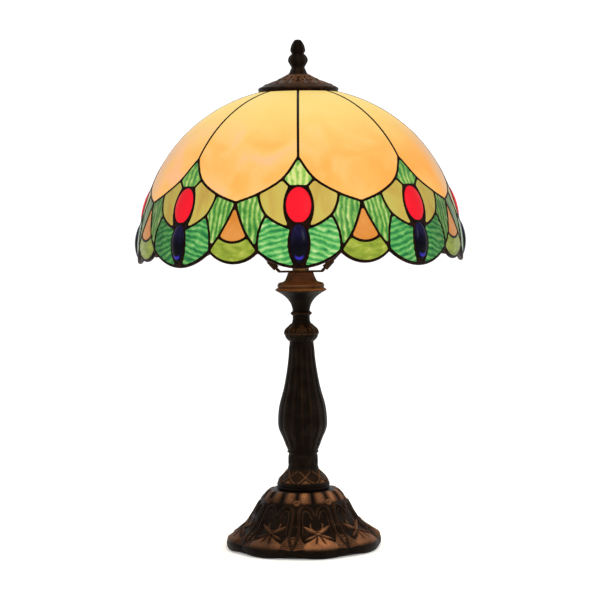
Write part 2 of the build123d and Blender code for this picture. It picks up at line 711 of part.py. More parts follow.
# ---------------------------------------------------------------- in-line switch
SWITCH_L, SWITCH_W, SWITCH_H = 58.0, 25.0, 15.0
WALL = 1.8
SWITCH_BOTTOM = 0.3
ROCKER_PIN_Z = 11.5
ROCKER_PIN_R = 1.0
POSTS = ((-7.4, SWITCH_Y - 16), (7.4, SWITCH_Y + 16))     # the two screws and their posts
POST_R = 2.6


def switch_half(z0, height, top):
    """One half of the switch's shell: a rounded tray, open towards the parting plane."""
    with BuildPart() as half_shell:
        with BuildSketch(Plane.XY.offset(z0)):
            with Locations((0, SWITCH_Y)):
                SlotOverall(SWITCH_L, SWITCH_W, rotation=90)
        extrude(amount=height)
        outer = half_shell.faces().sort_by(Axis.Z)[-1 if top else 0]
        fillet(outer.edges(), radius=2.4)
        with BuildSketch(Plane.XY.offset(z0 if top else z0 + WALL)):
            with Locations((0, SWITCH_Y)):
                SlotOverall(SWITCH_L - 2 * WALL, SWITCH_W - 2 * WALL, rotation=90)
        extrude(amount=height - WALL, mode=Mode.SUBTRACT)
        with BuildSketch(Plane(origin=(0, SWITCH_Y - 60, CORD_Z), x_dir=(1, 0, 0), z_dir=(0, 1, 0))):
            Circle(CORD_R + 0.05)
        extrude(amount=120, mode=Mode.SUBTRACT)
    return half_shell.part


with BuildPart() as switch_base:
    add(switch_half(SWITCH_BOTTOM, CORD_Z - SWITCH_BOTTOM, top=False))
    # cheeks that carry the rocker's pin, and posts for the two screws
    with BuildSketch(Plane.XY.offset(SWITCH_BOTTOM + WALL)):
        with Locations((-6.6, SWITCH_Y), (6.6, SWITCH_Y)):
            Rectangle(1.8, 8)
    extrude(amount=ROCKER_PIN_Z + 1.5 - SWITCH_BOTTOM - WALL)
    with BuildSketch(Plane(origin=(-10, SWITCH_Y, ROCKER_PIN_Z), x_dir=(0, 1, 0), z_dir=(1, 0, 0))):
        Circle(ROCKER_PIN_R + 0.05)
    extrude(amount=20, mode=Mode.SUBTRACT)
    with BuildSketch(Plane.XY.offset(SWITCH_BOTTOM)):
        with Locations(*POSTS):
            Circle(POST_R)
    extrude(amount=CORD_Z - SWITCH_BOTTOM)
    with BuildSketch(Plane.XY.offset(SWITCH_BOTTOM)):
        with Locations(*POSTS):
            Circle(1.3)
    extrude(amount=10, mode=Mode.SUBTRACT)
write("switch_base", switch_base.part)

with BuildPart() as switch_cover:
    add(switch_half(CORD_Z, SWITCH_H - CORD_Z, top=True))
    with BuildSketch(Plane.XY.offset(CORD_Z)):
        with Locations(*POSTS):
            Circle(POST_R)
    extrude(amount=SWITCH_H - CORD_Z - 0.5)
    with BuildSketch(Plane.XY.offset(CORD_Z - 0.1)):
        with Locations(*POSTS):
            Circle(1.05)
    extrude(amount=5, mode=Mode.SUBTRACT)
    with BuildSketch(Plane.XY.offset(SWITCH_H - 4)):
        with Locations((0, SWITCH_Y)):
            Rectangle(11.2, 20.4)
    extrude(amount=6, mode=Mode.SUBTRACT)
write("switch_cover", switch_cover.part)

with BuildPart() as switch_rocker:
    with BuildSketch(Plane(origin=(-5.3, SWITCH_Y, 0), x_dir=(0, 1, 0), z_dir=(1, 0, 0))):
        with BuildLine():
            Line((-9.2, 12.2), (-9.2, 16.2))
            ThreePointArc((-9.2, 16.2), (0, 15.0), (9.2, 16.2))
            Polyline((9.2, 16.2), (9.2, 12.2), (2.6, 9), (-2.6, 9), (-9.2, 12.2))
        make_face()
        with Locations((0, ROCKER_PIN_Z)):
            Circle(ROCKER_PIN_R + 0.05, mode=Mode.SUBTRACT)
    extrude(amount=10.6)
write("switch_rocker", switch_rocker.part)

with BuildPart() as rocker_pin:
    with BuildSketch(Plane(origin=(-7.4, SWITCH_Y, ROCKER_PIN_Z), x_dir=(0, 1, 0), z_dir=(1, 0, 0))):
        Circle(ROCKER_PIN_R)
    extrude(amount=14.8)
write("rocker_pin", rocker_pin.part)

with BuildPart() as switch_screws:
    for post in POSTS:
        with BuildSketch(Plane.XY.offset(SWITCH_BOTTOM + 0.2)):
            with Locations(post):
                Circle(1.25)
        extrude(amount=2)
        with BuildSketch(Plane.XY.offset(SWITCH_BOTTOM + 2.2)):
            with Locations(post):
                Circle(1.0)
        extrude(amount=8.5)
write("switch_screws", switch_screws.part)

# ---------------------------------------------------------------- two-pin plug
PIN_PITCH = 18.6
PLUG_FACE = 20.0          # the face that the pins stand on
PIN_R = 2.0
PIN_L = 19.0
PIN_ROOT_R = 1.5
PIN_ROOT = 8.0            # depth of a pin's root inside the body
with BuildPart() as plug_body:
    with BuildSketch(Plane(origin=(PLUG_FACE, PLUG_Y, CORD_Z), x_dir=(0, 1, 0), z_dir=(-1, 0, 0))):
        SlotOverall(27, 13.4)
    with BuildSketch(Plane(origin=(0, PLUG_Y, CORD_Z), x_dir=(0, 1, 0), z_dir=(-1, 0, 0))):
        SlotOverall(25, 12.6)
    with BuildSketch(Plane(origin=(-12, PLUG_Y, CORD_Z), x_dir=(0, 1, 0), z_dir=(-1, 0, 0))):
        SlotOverall(10.4, 9.4)
    loft()
    with BuildSketch(Plane(origin=(-13, PLUG_Y, CORD_Z), x_dir=(0, 1, 0), z_dir=(1, 0, 0))):
        Circle(CORD_R)
    extrude(amount=9, mode=Mode.SUBTRACT)
    with BuildSketch(Plane(origin=(PLUG_FACE, PLUG_Y, CORD_Z), x_dir=(0, 1, 0), z_dir=(-1, 0, 0))):
        with Locations((-PIN_PITCH / 2, 0), (PIN_PITCH / 2, 0)):
            Circle(PIN_ROOT_R)
    extrude(amount=PIN_ROOT, mode=Mode.SUBTRACT)
write("plug_body", plug_body.part)

with BuildPart() as plug_pins:
    # each pin stands on a thinner root that is moulded into the body
    for start, radius, length in ((PLUG_FACE - PIN_ROOT, PIN_ROOT_R, PIN_ROOT), (PLUG_FACE, PIN_R, PIN_L)):
        with BuildSketch(Plane(origin=(start, PLUG_Y, CORD_Z), x_dir=(0, 1, 0), z_dir=(1, 0, 0))):
            with Locations((-PIN_PITCH / 2, 0), (PIN_PITCH / 2, 0)):
                Circle(radius)
        extrude(amount=length)
    chamfer(plug_pins.faces().sort_by(Axis.X)[-2:].edges(), length=0.6)
write("plug_pins", plug_pins.part)
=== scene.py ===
from math import cos, pi, radians, sin

import bmesh
import bpy
import numpy as np
from mathutils import Matrix, Vector, noise
from mathutils.geometry import delaunay_2d_cdt


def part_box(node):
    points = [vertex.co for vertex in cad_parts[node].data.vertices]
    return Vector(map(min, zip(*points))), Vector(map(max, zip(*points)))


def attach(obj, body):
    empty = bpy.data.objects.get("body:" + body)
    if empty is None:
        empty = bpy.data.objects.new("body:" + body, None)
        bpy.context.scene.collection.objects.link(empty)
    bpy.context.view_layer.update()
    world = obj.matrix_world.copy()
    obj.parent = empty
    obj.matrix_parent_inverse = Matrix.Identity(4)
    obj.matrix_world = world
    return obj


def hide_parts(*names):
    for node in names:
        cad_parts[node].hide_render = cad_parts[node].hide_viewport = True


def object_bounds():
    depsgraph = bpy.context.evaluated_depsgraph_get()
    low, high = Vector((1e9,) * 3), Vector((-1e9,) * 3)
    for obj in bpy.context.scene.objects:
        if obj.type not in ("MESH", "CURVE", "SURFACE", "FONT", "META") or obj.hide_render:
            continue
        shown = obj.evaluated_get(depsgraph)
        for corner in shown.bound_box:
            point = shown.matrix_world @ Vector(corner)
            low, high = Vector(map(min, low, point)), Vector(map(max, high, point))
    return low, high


# Looks of the stained glass table lamp. Lengths are in millimetres until a mesh is made.
# The front of the lamp faces -Y. Azimuth counts from the front, positive towards +X.

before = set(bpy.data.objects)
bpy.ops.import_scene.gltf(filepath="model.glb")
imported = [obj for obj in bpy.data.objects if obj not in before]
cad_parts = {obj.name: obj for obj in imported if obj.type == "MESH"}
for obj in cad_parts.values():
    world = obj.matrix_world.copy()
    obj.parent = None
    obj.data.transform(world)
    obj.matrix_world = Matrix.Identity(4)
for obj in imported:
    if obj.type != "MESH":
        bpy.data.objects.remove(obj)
cad_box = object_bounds()
MM = 0.001


def top_of(node):
    """Height of a CAD node's highest point, in millimetres."""
    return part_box(node)[1].z / MM


def bottom_of(node):
    """Height of a CAD node's lowest point, in millimetres."""
    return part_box(node)[0].z / MM


def radius_of(node):
    """Largest radius of a CAD node turned about the lamp's axis, in millimetres."""
    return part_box(node)[1].x / MM


# ---- node materials
def srgb(red, green, blue):
    """A colour given in ordinary 0-255 display values, as Blender's linear values."""
    def linear(value):
        value = value / 255
        return value / 12.92 if value <= 0.04045 else ((value + 0.055) / 1.055) ** 2.4
    return (linear(red), linear(green), linear(blue), 1.0)


class Nodes:
    """Builds one material's node tree with short calls."""

    def __init__(self, name):
        self.material = bpy.data.materials.new(name)
        self.material.use_nodes = True
        self.tree = self.material.node_tree
        self.tree.nodes.clear()

    def add(self, kind, inputs=None, out=0, **settings):
        """Makes a node, sets it up, connects its inputs, and returns one of its outputs."""
        node = self.tree.nodes.new(kind)
        for key, value in settings.items():
            setattr(node, key, value)
        for key, value in (inputs or {}).items():
            if isinstance(value, bpy.types.NodeSocket):
                self.tree.links.new(value, node.inputs[key])
            else:
                node.inputs[key].default_value = value
        return node.outputs[out] if node.outputs else node

    def math(self, operation, a, b=0.0, clamp=False):
        return self.add("ShaderNodeMath", {0: a, 1: b}, operation=operation, use_clamp=clamp)

    def times(self, a, b, clamp=False):
        return self.math("MULTIPLY", a, b, clamp)

    def plus(self, a, b):
        return self.math("ADD", a, b)

    def minus(self, a, b):
        return self.math("SUBTRACT", a, b)

    def axis(self, vector, index):
        """One coordinate of a vector: 0, 1 or 2."""
        return self.add("ShaderNodeSeparateXYZ", {0: vector}, out=index)

    def facing(self, blend=0.5):
        """1 where the surface faces the eye, 0 where it is seen edge on."""
        return self.minus(1.0, self.add("ShaderNodeLayerWeight", {"Blend": blend}, out=1))

    def facing_up(self):
        """1 where the surface faces up, -1 where it faces down."""
        return self.axis(self.add("ShaderNodeNewGeometry", out=1), 2)

    def span(self, value, low, high, to_low=0.0, to_high=1.0):
        """Maps low..high to to_low..to_high along a smooth step, clamped."""
        return self.add("ShaderNodeMapRange", {0: value, 1: low, 2: high, 3: to_low, 4: to_high},
                        interpolation_type="SMOOTHSTEP")

    def mix(self, factor, a, b, blend="MIX"):
        return self.add("ShaderNodeMix", {0: factor, 6: a, 7: b}, out=2, data_type="RGBA", blend_type=blend)

    def ramp(self, factor, stops):
        """A colour ramp from (position, colour) stops."""
        output = self.add("ShaderNodeValToRGB", {0: factor})
        elements = output.node.color_ramp.elements
        while len(elements) < len(stops):
            elements.new(0.5)
        for element, (position, colour) in zip(elements, stops):
            element.position = position
            element.color = colour
        return output

    def noise(self, vector, scale, detail=3.0, roughness=0.55, distortion=0.0):
        return self.add("ShaderNodeTexNoise", {"Vector": vector, "Scale": scale, "Detail": detail,
                                               "Roughness": roughness, "Distortion": distortion})

    def stretch(self, vector, scale, turn=0.0):
        """The vector turned about Z, then scaled along its axes."""
        turned = self.add("ShaderNodeVectorRotate", {"Vector": vector, "Angle": turn}, rotation_type="Z_AXIS")
        return self.add("ShaderNodeVectorMath", {0: turned, 1: scale}, operation="MULTIPLY")

    def place(self):
        """The point's place in the lamp's own frame, in millimetres."""
        coordinates = self.add("ShaderNodeTexCoord", out=3)
        return self.add("ShaderNodeVectorMath", {0: coordinates, 3: 1 / MM}, operation="SCALE")

    def attribute(self, name, out=2):
        return self.add("ShaderNodeAttribute", out=out, attribute_name=name)

    def bump(self, height, distance, strength=1.0):
        return self.add("ShaderNodeBump", {"Height": height, "Distance": distance * MM, "Strength": strength})

    def surface(self, **inputs):
        """A Principled surface as the material's result. Underscores stand for spaces."""
        sockets = {key.replace("_", " "): value for key, value in inputs.items()}
        shader = self.add("ShaderNodeBsdfPrincipled", sockets)
        self.add("ShaderNodeOutputMaterial", {"Surface": shader})
        return self.material


def bronze(name, dark, rubbed, share, gloss=0.42):
    """Cast bronze with a dark patina, rubbed to copper where the relief mask is high, the copper painted
    brighter facing up and towards the front as painted light.
    """
    n = Nodes(name)
    place = n.place()
    cloud = n.noise(place, 0.09, 4)
    grain = n.noise(place, 1.3, 5, 0.7)
    mask = n.math("POWER", n.attribute("relief"), 1.4)
    up = n.facing_up()
    # painted light from above: copper painted brighter on faces turned up
    lift = n.span(up, -0.2, 0.85, 0.25, 1.0)
    rub_and_light = n.times(n.span(cloud, 0.3, 0.7, 0.55, 1.1), n.times(mask, lift))
    rub_and_light = n.times(n.times(rub_and_light, n.span(grain, 0.25, 0.7, 0.7, 1.0)), share, clamp=True)
    # painted light and shade: copper painted brightest near the middle, dimmer to the right and darkest to
    # the left
    aside = n.axis(place, 0)
    rub_and_light = n.times(rub_and_light, n.span(aside, -36.0, 4.0, 0.28, 1.0))
    rub_and_light = n.times(rub_and_light, n.span(aside, 24.0, 54.0, 1.0, 0.6))
    patina = n.mix(n.span(cloud, 0.35, 0.75), dark[0], dark[1])
    copper = n.mix(n.span(grain, 0.3, 0.7), rubbed[0], rubbed[1])
    colour = n.mix(rub_and_light, patina, copper)
    return n.surface(
        Base_Color=colour, Metallic=n.times(rub_and_light, 0.3),
        Roughness=n.span(grain, 0.2, 0.8, gloss, gloss + 0.16), Specular_IOR_Level=0.06,
        Specular_Tint=srgb(190, 150, 116),
        Normal=n.bump(n.plus(grain, n.times(cloud, 0.5)), 0.10, 0.6))


def plated(name, base, spot, rough=0.28, metallic=1.0, brushed=0.0):
    """A metal surface with faint stains, and lathe or brush lines where brushed is above zero."""
    n = Nodes(name)
    place = n.place()
    stain = n.noise(place, 0.16, 4, 0.6)
    lines = n.noise(n.stretch(place, (0.4, 0.4, 9.0)), 1.0, 3)
    colour = n.mix(n.span(stain, 0.4, 0.75), base, spot)
    roughness = n.plus(n.span(stain, 0.3, 0.8, rough, rough + 0.15), n.times(lines, brushed))
    return n.surface(Base_Color=colour, Metallic=metallic, Roughness=roughness,
                     Normal=n.bump(lines, 0.03, 0.3 + brushed))


def moulded(name, base, fleck, rough=0.38, grain_mm=0.05):
    """Moulded plastic, rubber or fibre with a fine grain."""
    n = Nodes(name)
    place = n.place()
    grain = n.noise(place, 2.4, 4, 0.6)
    cloud = n.noise(place, 0.12, 3)
    return n.surface(Base_Color=n.mix(n.span(cloud, 0.3, 0.7), base, fleck),
                     Roughness=n.span(grain, 0.3, 0.7, rough, rough + 0.12),
                     Specular_IOR_Level=0.4, Normal=n.bump(grain, grain_mm, 0.5))


BULB_CENTRE = (0.0, 0.0, (bottom_of("bulb_glass") + top_of("bulb_glass")) / 2)


def shaded_bays_mask(n):
    """Mask of a painted shade: 0 in the bays at the front, back and sides, 1 in the four bays between them.
    """
    flat = n.stretch(n.place(), (1.0, 1.0, 0.0))
    heading = n.add("ShaderNodeVectorMath", {0: flat}, operation="NORMALIZE")
    x = n.axis(heading, 0)
    y = n.axis(heading, 1)
    return n.span(n.math("ABSOLUTE", n.times(x, y)), 0.25, 0.47)


def lit_glass(name, stops, pattern, dim, warm=0.0, edge=None, roughness=0.22, power=0.86, grazing=0.05,
              bay_shade=0.0):
    """Coloured glass lit from behind by the bulb.

    pattern(n, local) gives a 0..1 factor for the colour stops from the pane's own
    coordinates. dim is the glow left where the glass is seen at a glancing angle, warm is how
    much the glow gains near the bulb, and edge is a pale colour painted into the glow at
    glancing angles as a painted reflection, fading towards the crown. grazing is how square to
    the eye the glass must be before its glow grows, and bay_shade is a painted shade: how far
    the bays between the front and the sides fall back along the colour stops, to darker colours."""
    n = Nodes(name)
    local = n.attribute("pane", out=1)
    factor = pattern(n, local)
    # painted shade: the four bays between the front and the sides are drawn darker
    if bay_shade:
        factor = n.minus(factor, n.times(shaded_bays_mask(n), bay_shade))
    tint = n.ramp(factor, stops)
    facing = n.facing()
    reach = n.add("ShaderNodeVectorMath", {0: n.place(), 1: BULB_CENTRE}, out=1, operation="DISTANCE")
    near = n.span(reach, 84.0, 130.0, 1.0, 0.0)
    glow = n.times(n.span(facing, grazing, 0.95, dim, 1.0), power)
    if warm:
        tint = n.mix(n.times(near, warm), tint, srgb(255, 230, 136))
    # painted reflection: a pale sheen painted into the glow where the glass is seen edge on, fading towards
    # the crown
    if edge:
        up = n.facing_up()
        rim = n.times(n.span(facing, 0.36, 0.10), n.span(up, 0.55, 0.85, 1.0, 0.0))
        tint = n.mix(rim, tint, edge)
    soft = n.noise(local, 0.35, 2)
    return n.surface(
        Base_Color=n.mix(0.88, tint, srgb(10, 8, 6)), Roughness=roughness, Specular_IOR_Level=0.06,
        Specular_Tint=n.mix(0.5, tint, srgb(255, 255, 255)), Emission_Color=tint,
        Emission_Strength=glow, Normal=n.bump(soft, 0.25, 0.35))


def clouds(scale, stretch_v=1.0, lean=0.0):
    """Soft opalescent drifts. lean moves the colour along its stops from one side to the other."""
    def pattern(n, local):
        flow = n.stretch(local, (scale, scale * stretch_v, 1.0))
        drift = n.noise(flow, 1.0, 3, 0.5, 0.6)
        if not lean:
            return drift
        aside = n.axis(n.place(), 0)
        return n.plus(drift, n.times(aside, lean))
    return pattern


def streaks(pitch, turn, wander=1.0, speckle=0.25):
    """Wavy bands across one direction with finer lines inside them, as in rolled streaky glass."""
    def pattern(n, local):
        drift = n.noise(n.stretch(local, (0.055, 0.055, 1.0)), 1.0, 2)
        along = n.stretch(local, (1.0, 1.0, 1.0), turn)
        across = n.axis(along, 1)
        waved = n.plus(n.times(across, 2 * pi / pitch), n.times(drift, 14.0 * wander))
        band = n.math("MULTIPLY_ADD", n.math("SINE", waved), 0.5)
        band.node.inputs[2].default_value = 0.5
        fine = n.noise(n.stretch(local, (0.10, 0.95, 1.0), turn), 1.0, 3, 0.65)
        patch = n.noise(n.stretch(local, (0.11, 0.11, 1.0)), 1.0, 3, 0.6)
        mixed = n.plus(n.times(band, 0.40), n.times(fine, 0.52))
        return n.plus(mixed, n.times(n.minus(patch, 0.38), 0.7 + speckle))
    return pattern


def blue_glass(name):
    """Near-black cobalt that lights up only as a crescent low in each jewel."""
    n = Nodes(name)
    local = n.attribute("pane", out=1)
    across = n.axis(local, 0)
    up = n.axis(local, 1)
    bow = n.times(n.times(across, across), 0.42)
    away = n.math("ABSOLUTE", n.minus(n.plus(up, 0.74), bow))
    crescent = n.times(n.span(away, 0.12, 0.01), n.span(n.math("ABSOLUTE", across), 0.62, 0.2))
    upper = n.span(up, -0.2, 0.9)
    swirl = n.noise(n.stretch(local, (2.2, 3.5, 1.0)), 1.0, 2)
    deep = n.mix(n.times(upper, swirl), srgb(4, 3, 9), srgb(40, 34, 84))
    tint = n.mix(crescent, deep, srgb(62, 50, 186))
    return n.surface(Base_Color=srgb(3, 3, 8), Roughness=0.2, Specular_IOR_Level=0.04,
                     Emission_Color=tint, Emission_Strength=0.9)


# streaks of the rolled green glass: millimetres between them, and the wings' slant in radians
KITE_PITCH, SHOULDER_PITCH, WING_PITCH, WING_SLANT = 5.2, 4.6, 4.8, 0.26


def make_glass():
    """One material and a slot name for each kind of pane, keyed by its CAD node."""
    peach = [(0.3, srgb(253, 174, 82)), (0.45, srgb(252, 183, 94)), (0.58, srgb(254, 192, 112)),
             (0.72, srgb(255, 190, 134))]
    green = [(0.2, srgb(34, 120, 66)), (0.42, srgb(70, 162, 84)), (0.6, srgb(104, 190, 98)),
             (0.78, srgb(152, 212, 124)), (0.95, srgb(208, 232, 166))]
    green_down = [(0.2, srgb(44, 116, 50)), (0.42, srgb(82, 150, 66)), (0.6, srgb(116, 174, 76)),
                  (0.78, srgb(170, 206, 108)), (0.95, srgb(214, 222, 150))]
    kite = [(0.12, srgb(70, 146, 74)), (0.32, srgb(112, 176, 88)), (0.54, srgb(162, 206, 94)),
            (0.78, srgb(222, 232, 142))]
    olive = [(0.3, srgb(200, 164, 78)), (0.5, srgb(210, 186, 88)), (0.7, srgb(202, 194, 98))]
    amber = [(0.3, srgb(218, 132, 50)), (0.55, srgb(228, 148, 66)), (0.75, srgb(232, 156, 88))]
    lime = [(0.3, srgb(122, 142, 44)), (0.5, srgb(152, 170, 58)), (0.7, srgb(182, 192, 82))]
    red = [(0.2, srgb(246, 14, 38)), (0.7, srgb(255, 30, 50))]
    # the peach glass's edge colour is a painted reflection; the bay shade on the kites and wings is a painted
    # shade
    return {
        "peach_panels": (lit_glass("peach_glass", peach, clouds(0.028, lean=-0.0011), 0.84, warm=0.8,
                                   edge=srgb(226, 184, 146), roughness=0.55, power=0.95), "peach_glass"),
        "green_kites": (lit_glass("kite_glass", kite, streaks(KITE_PITCH, pi / 2, 0.8, 0.7), 0.45,
                                  bay_shade=0.26), "kite_glass"),
        "olive_wings": (lit_glass("olive_glass", olive, clouds(0.07, 0.35), 0.42), "olive_glass"),
        "green_shoulders": (lit_glass("shoulder_glass", green_down, streaks(SHOULDER_PITCH, pi / 2, 0.7),
                                      0.16, grazing=0.14), "green_glass"),
        "green_wings": (lit_glass("wing_glass", green, streaks(WING_PITCH, WING_SLANT, 0.9), 0.16,
                                  grazing=0.3, bay_shade=0.1), "green_glass"),
        "peach_darts": (lit_glass("amber_glass", amber, clouds(0.06), 0.55), "amber_glass"),
        "lime_scallops": (lit_glass("lime_glass", lime, clouds(0.09, 2.2), 0.45), "lime_glass"),
        "red_ovals": (lit_glass("red_glass", red, clouds(0.05), 0.6, roughness=0.4), "red_glass"),
        "blue_ovals": (blue_glass("blue_glass"), "blue_glass"),
    }


# ---- mesh helpers
def new_piece(name, vertices, faces, body, material, replaces=None, sharp=38.0):
    """Makes a smooth-shaded piece from millimetre vertices, and puts it on its CAD body."""
    mesh = bpy.data.meshes.new(name)
    mesh.from_pydata((np.asarray(vertices, float) * MM).tolist(), [], faces)
    mesh.polygons.foreach_set("use_smooth", [True] * len(mesh.polygons))
    mesh.set_sharp_from_angle(angle=radians(sharp))
    mesh.materials.append(material)
    piece = bpy.data.objects.new(name, mesh)
    bpy.context.scene.collection.objects.link(piece)
    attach(piece, body)
    if replaces:
        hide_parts(replaces)
    return piece


def give(piece, name, values):
    """Stores one number or one vector for each vertex."""
    values = np.asarray(values, np.float32)
    kind, field = ("FLOAT", "value") if values.ndim == 1 else ("FLOAT_VECTOR", "vector")
    attribute = piece.data.attributes.new(name, kind, "POINT")
    attribute.data.foreach_set(field, values.ravel())


def full_turn(count):
    """Even angles around a whole circle."""
    return np.linspace(0, 2 * pi, count, endpoint=False)


def smoothstep(low, high, value):
    """0 at low and 1 at high, eased at both ends. low may be above high."""
    t = np.clip((value - low) / (high - low), 0, 1)
    return t * t * (3 - 2 * t)


def turned_piece(name, profile, count, shape, body, material, node, sharp):
    """A lathed piece that carries its relief mask."""
    vertices, faces, mask = lathe(profile, count, shape)
    give(new_piece(name, vertices, faces, body, material, node, sharp), "relief", mask)


def curve_through(points, count):
    """Points on a smooth Catmull-Rom curve through the given ones, end points included."""
    points = np.asarray(points, float)
    ends = np.vstack([2 * points[0] - points[1], points, 2 * points[-1] - points[-2]])
    step = np.linspace(0, len(points) - 1, count)
    index = np.minimum(step.astype(int), len(points) - 2)
    t = (step - index)[:, None]
    a, b, c, d = (ends[index + k] for k in range(4))
    square = 2 * a - 5 * b + 4 * c - d
    cube = 3 * b - a - 3 * c + d
    return 0.5 * (2 * b + (c - a) * t + square * t ** 2 + cube * t ** 3)


def lathe(profile, count, shape=None):
    """A closed solid of revolution. profile is a closed loop of (radius, height) rows.

    shape(azimuths, rows) may return (push along the profile's normal, relief mask) as
    arrays of one value for each vertex."""
    profile = np.asarray(profile, float)
    rows = len(profile)
    ahead, behind = np.roll(profile, -1, 0), np.roll(profile, 1, 0)
    run = ahead - behind
    normal = np.stack([run[:, 1], -run[:, 0]], 1)
    normal /= np.linalg.norm(normal, axis=1)[:, None] + 1e-9
    azimuth = full_turn(count)
    az, row = np.meshgrid(azimuth, np.arange(rows), indexing="ij")
    push, mask = shape(az, row) if shape else (np.zeros(az.shape), np.zeros(az.shape))
    radius = profile[row, 0] + normal[row, 0] * push
    height = profile[row, 1] + normal[row, 1] * push
    vertices = np.stack([radius * np.sin(az), -radius * np.cos(az), height], -1).reshape(-1, 3)
    i, j = np.meshgrid(np.arange(count), np.arange(rows), indexing="ij")
    i2, j2 = (i + 1) % count, (j + 1) % rows
    faces = np.stack([i * rows + j, i2 * rows + j, i2 * rows + j2, i * rows + j2], -1).reshape(-1, 4)
    return vertices, faces.tolist(), mask.ravel()


# ---- the dome and its seams
DOME_Z = 281.0
BAYS = 8
BAY = 360 / BAYS
CROWN_EL = 75.2
# outer skin: elevation seen from the dome's centre, and distance from it
DOME_EL = [-9.0, 0.0, 5.0, 11.0, 20.0, 35.0, 55.0, CROWN_EL]
DOME_RHO = [149.8, 149.6, 148.4, 146.6, 145.4, 145.0, 143.6, 142.3]
FINE_EL = np.linspace(-12, 82, 471)
dome_curve = curve_through(np.stack([DOME_EL, DOME_RHO], 1), 200)
FINE_RHO = np.interp(FINE_EL, dome_curve[:, 0], dome_curve[:, 1])
MM_PER_DEGREE = 146.0 * pi / 180
LEAD_DEPTH = 2.2                  # the seams' middle lies this far inside the outer skin

# Seam corners of one bay as (azimuth, elevation), for the half right of the motif's middle.
J_TOP, J_KITE, J_GEM, J_OLIVE, J_TIP = (0, 31.8), (5.9, 23.6), (3.05, 20.7), (14.3, 18.3), (22.5, 15.2)
J_HIP, J_WAIST, J_DART, J_VALLEY = (11.2, 10.7), (2.4, 6.1), (17.3, 3.6), (13.8, -1.0)
J_SWAG, GEM_TOP = (0.9, -6.4), (0, 20.9)
# jewels: azimuth and elevation of the middle, half width and half height in degrees
RED, BLUE = (0, 14.3, 4.5, 6.35), (0, 1.3, 3.0, 6.5)


def on_dome(azimuth, elevation, depth):
    """Points of the dome, `depth` inside its outer skin."""
    azimuth, elevation = np.radians(azimuth), np.asarray(elevation, float)
    rho = np.interp(elevation, FINE_EL, FINE_RHO) - depth
    el = np.radians(elevation)
    flat = rho * np.cos(el)
    return np.stack([flat * np.sin(azimuth), -flat * np.cos(azimuth), DOME_Z + rho * np.sin(el)], -1)


def flip(points):
    """The same points on the other side of the motif's middle, kept in order."""
    points = np.asarray(points, float)
    return points * (-1, 1)


def turn(points, azimuth):
    """The same points further round the dome."""
    return np.asarray(points, float) + (azimuth, 0)


def line(a, b, step=1.0):
    """Points along the straight line from a to b."""
    count = max(2, int(np.hypot(a[0] - b[0], a[1] - b[1]) / step) + 1)
    return np.linspace(a, b, count)


def arc(a, middle, b, step=0.8):
    """Points along the circle from a through middle to b."""
    p, q, r = (complex(*v) for v in (a, middle, b))
    w = (r - p) / (q - p)
    centre = (p - q) * (w - abs(w) ** 2) / 2j / w.imag - p
    centre = -centre
    start, end, via = ((v - centre) for v in (p, r, q))
    sweep = np.angle(end / start)
    through = np.angle(via / start)
    if sweep * through < 0 or abs(through) > abs(sweep):
        sweep -= 2 * pi * np.sign(sweep)
    count = max(6, int(abs(sweep) * abs(start) / step) + 1)
    points = centre + start * np.exp(1j * np.linspace(0, sweep, count))
    return np.stack([points.real, points.imag], 1)


def oval(azimuth, elevation, half_w, half_h, count=56):
    """A closed oval around (azimuth, elevation)."""
    angle = full_turn(count)
    return np.stack([azimuth + half_w * np.cos(angle), elevation + half_h * np.sin(angle)], 1)


def joined(*paths):
    """One closed outline from open paths laid end to end."""
    return np.vstack([np.asarray(path)[:-1] for path in paths])


PANEL_FOOT = curve_through([J_TOP, J_KITE, J_OLIVE, J_TIP], 46)
OLIVE_SIDE = arc(J_OLIVE, (13.3, 14.3), J_HIP)
OLIVE_FOOT = arc(J_HIP, (7.1, 7.9), J_WAIST)
OLIVE_GEM = arc(J_WAIST, (4.9, 14.3), J_GEM)
DIVIDER = arc(J_HIP, (13.4, 5.2), J_VALLEY)
DART_SIDE = arc(J_TIP, (20.3, 9.4), J_DART)
DART_FOOT = arc(J_DART, (BAY / 2, 1.7), (BAY - J_DART[0], J_DART[1]))
LIME_FOOT = arc(J_VALLEY, (BAY / 2, -4.9), (BAY - J_VALLEY[0], J_VALLEY[1]))
WING_FOOT = arc(J_VALLEY, (8.2, -4.6), J_SWAG)
WING_GEM = arc(J_SWAG, (3.35, 0.4), J_WAIST)
VALLEY_LINE = line(J_DART, J_VALLEY)


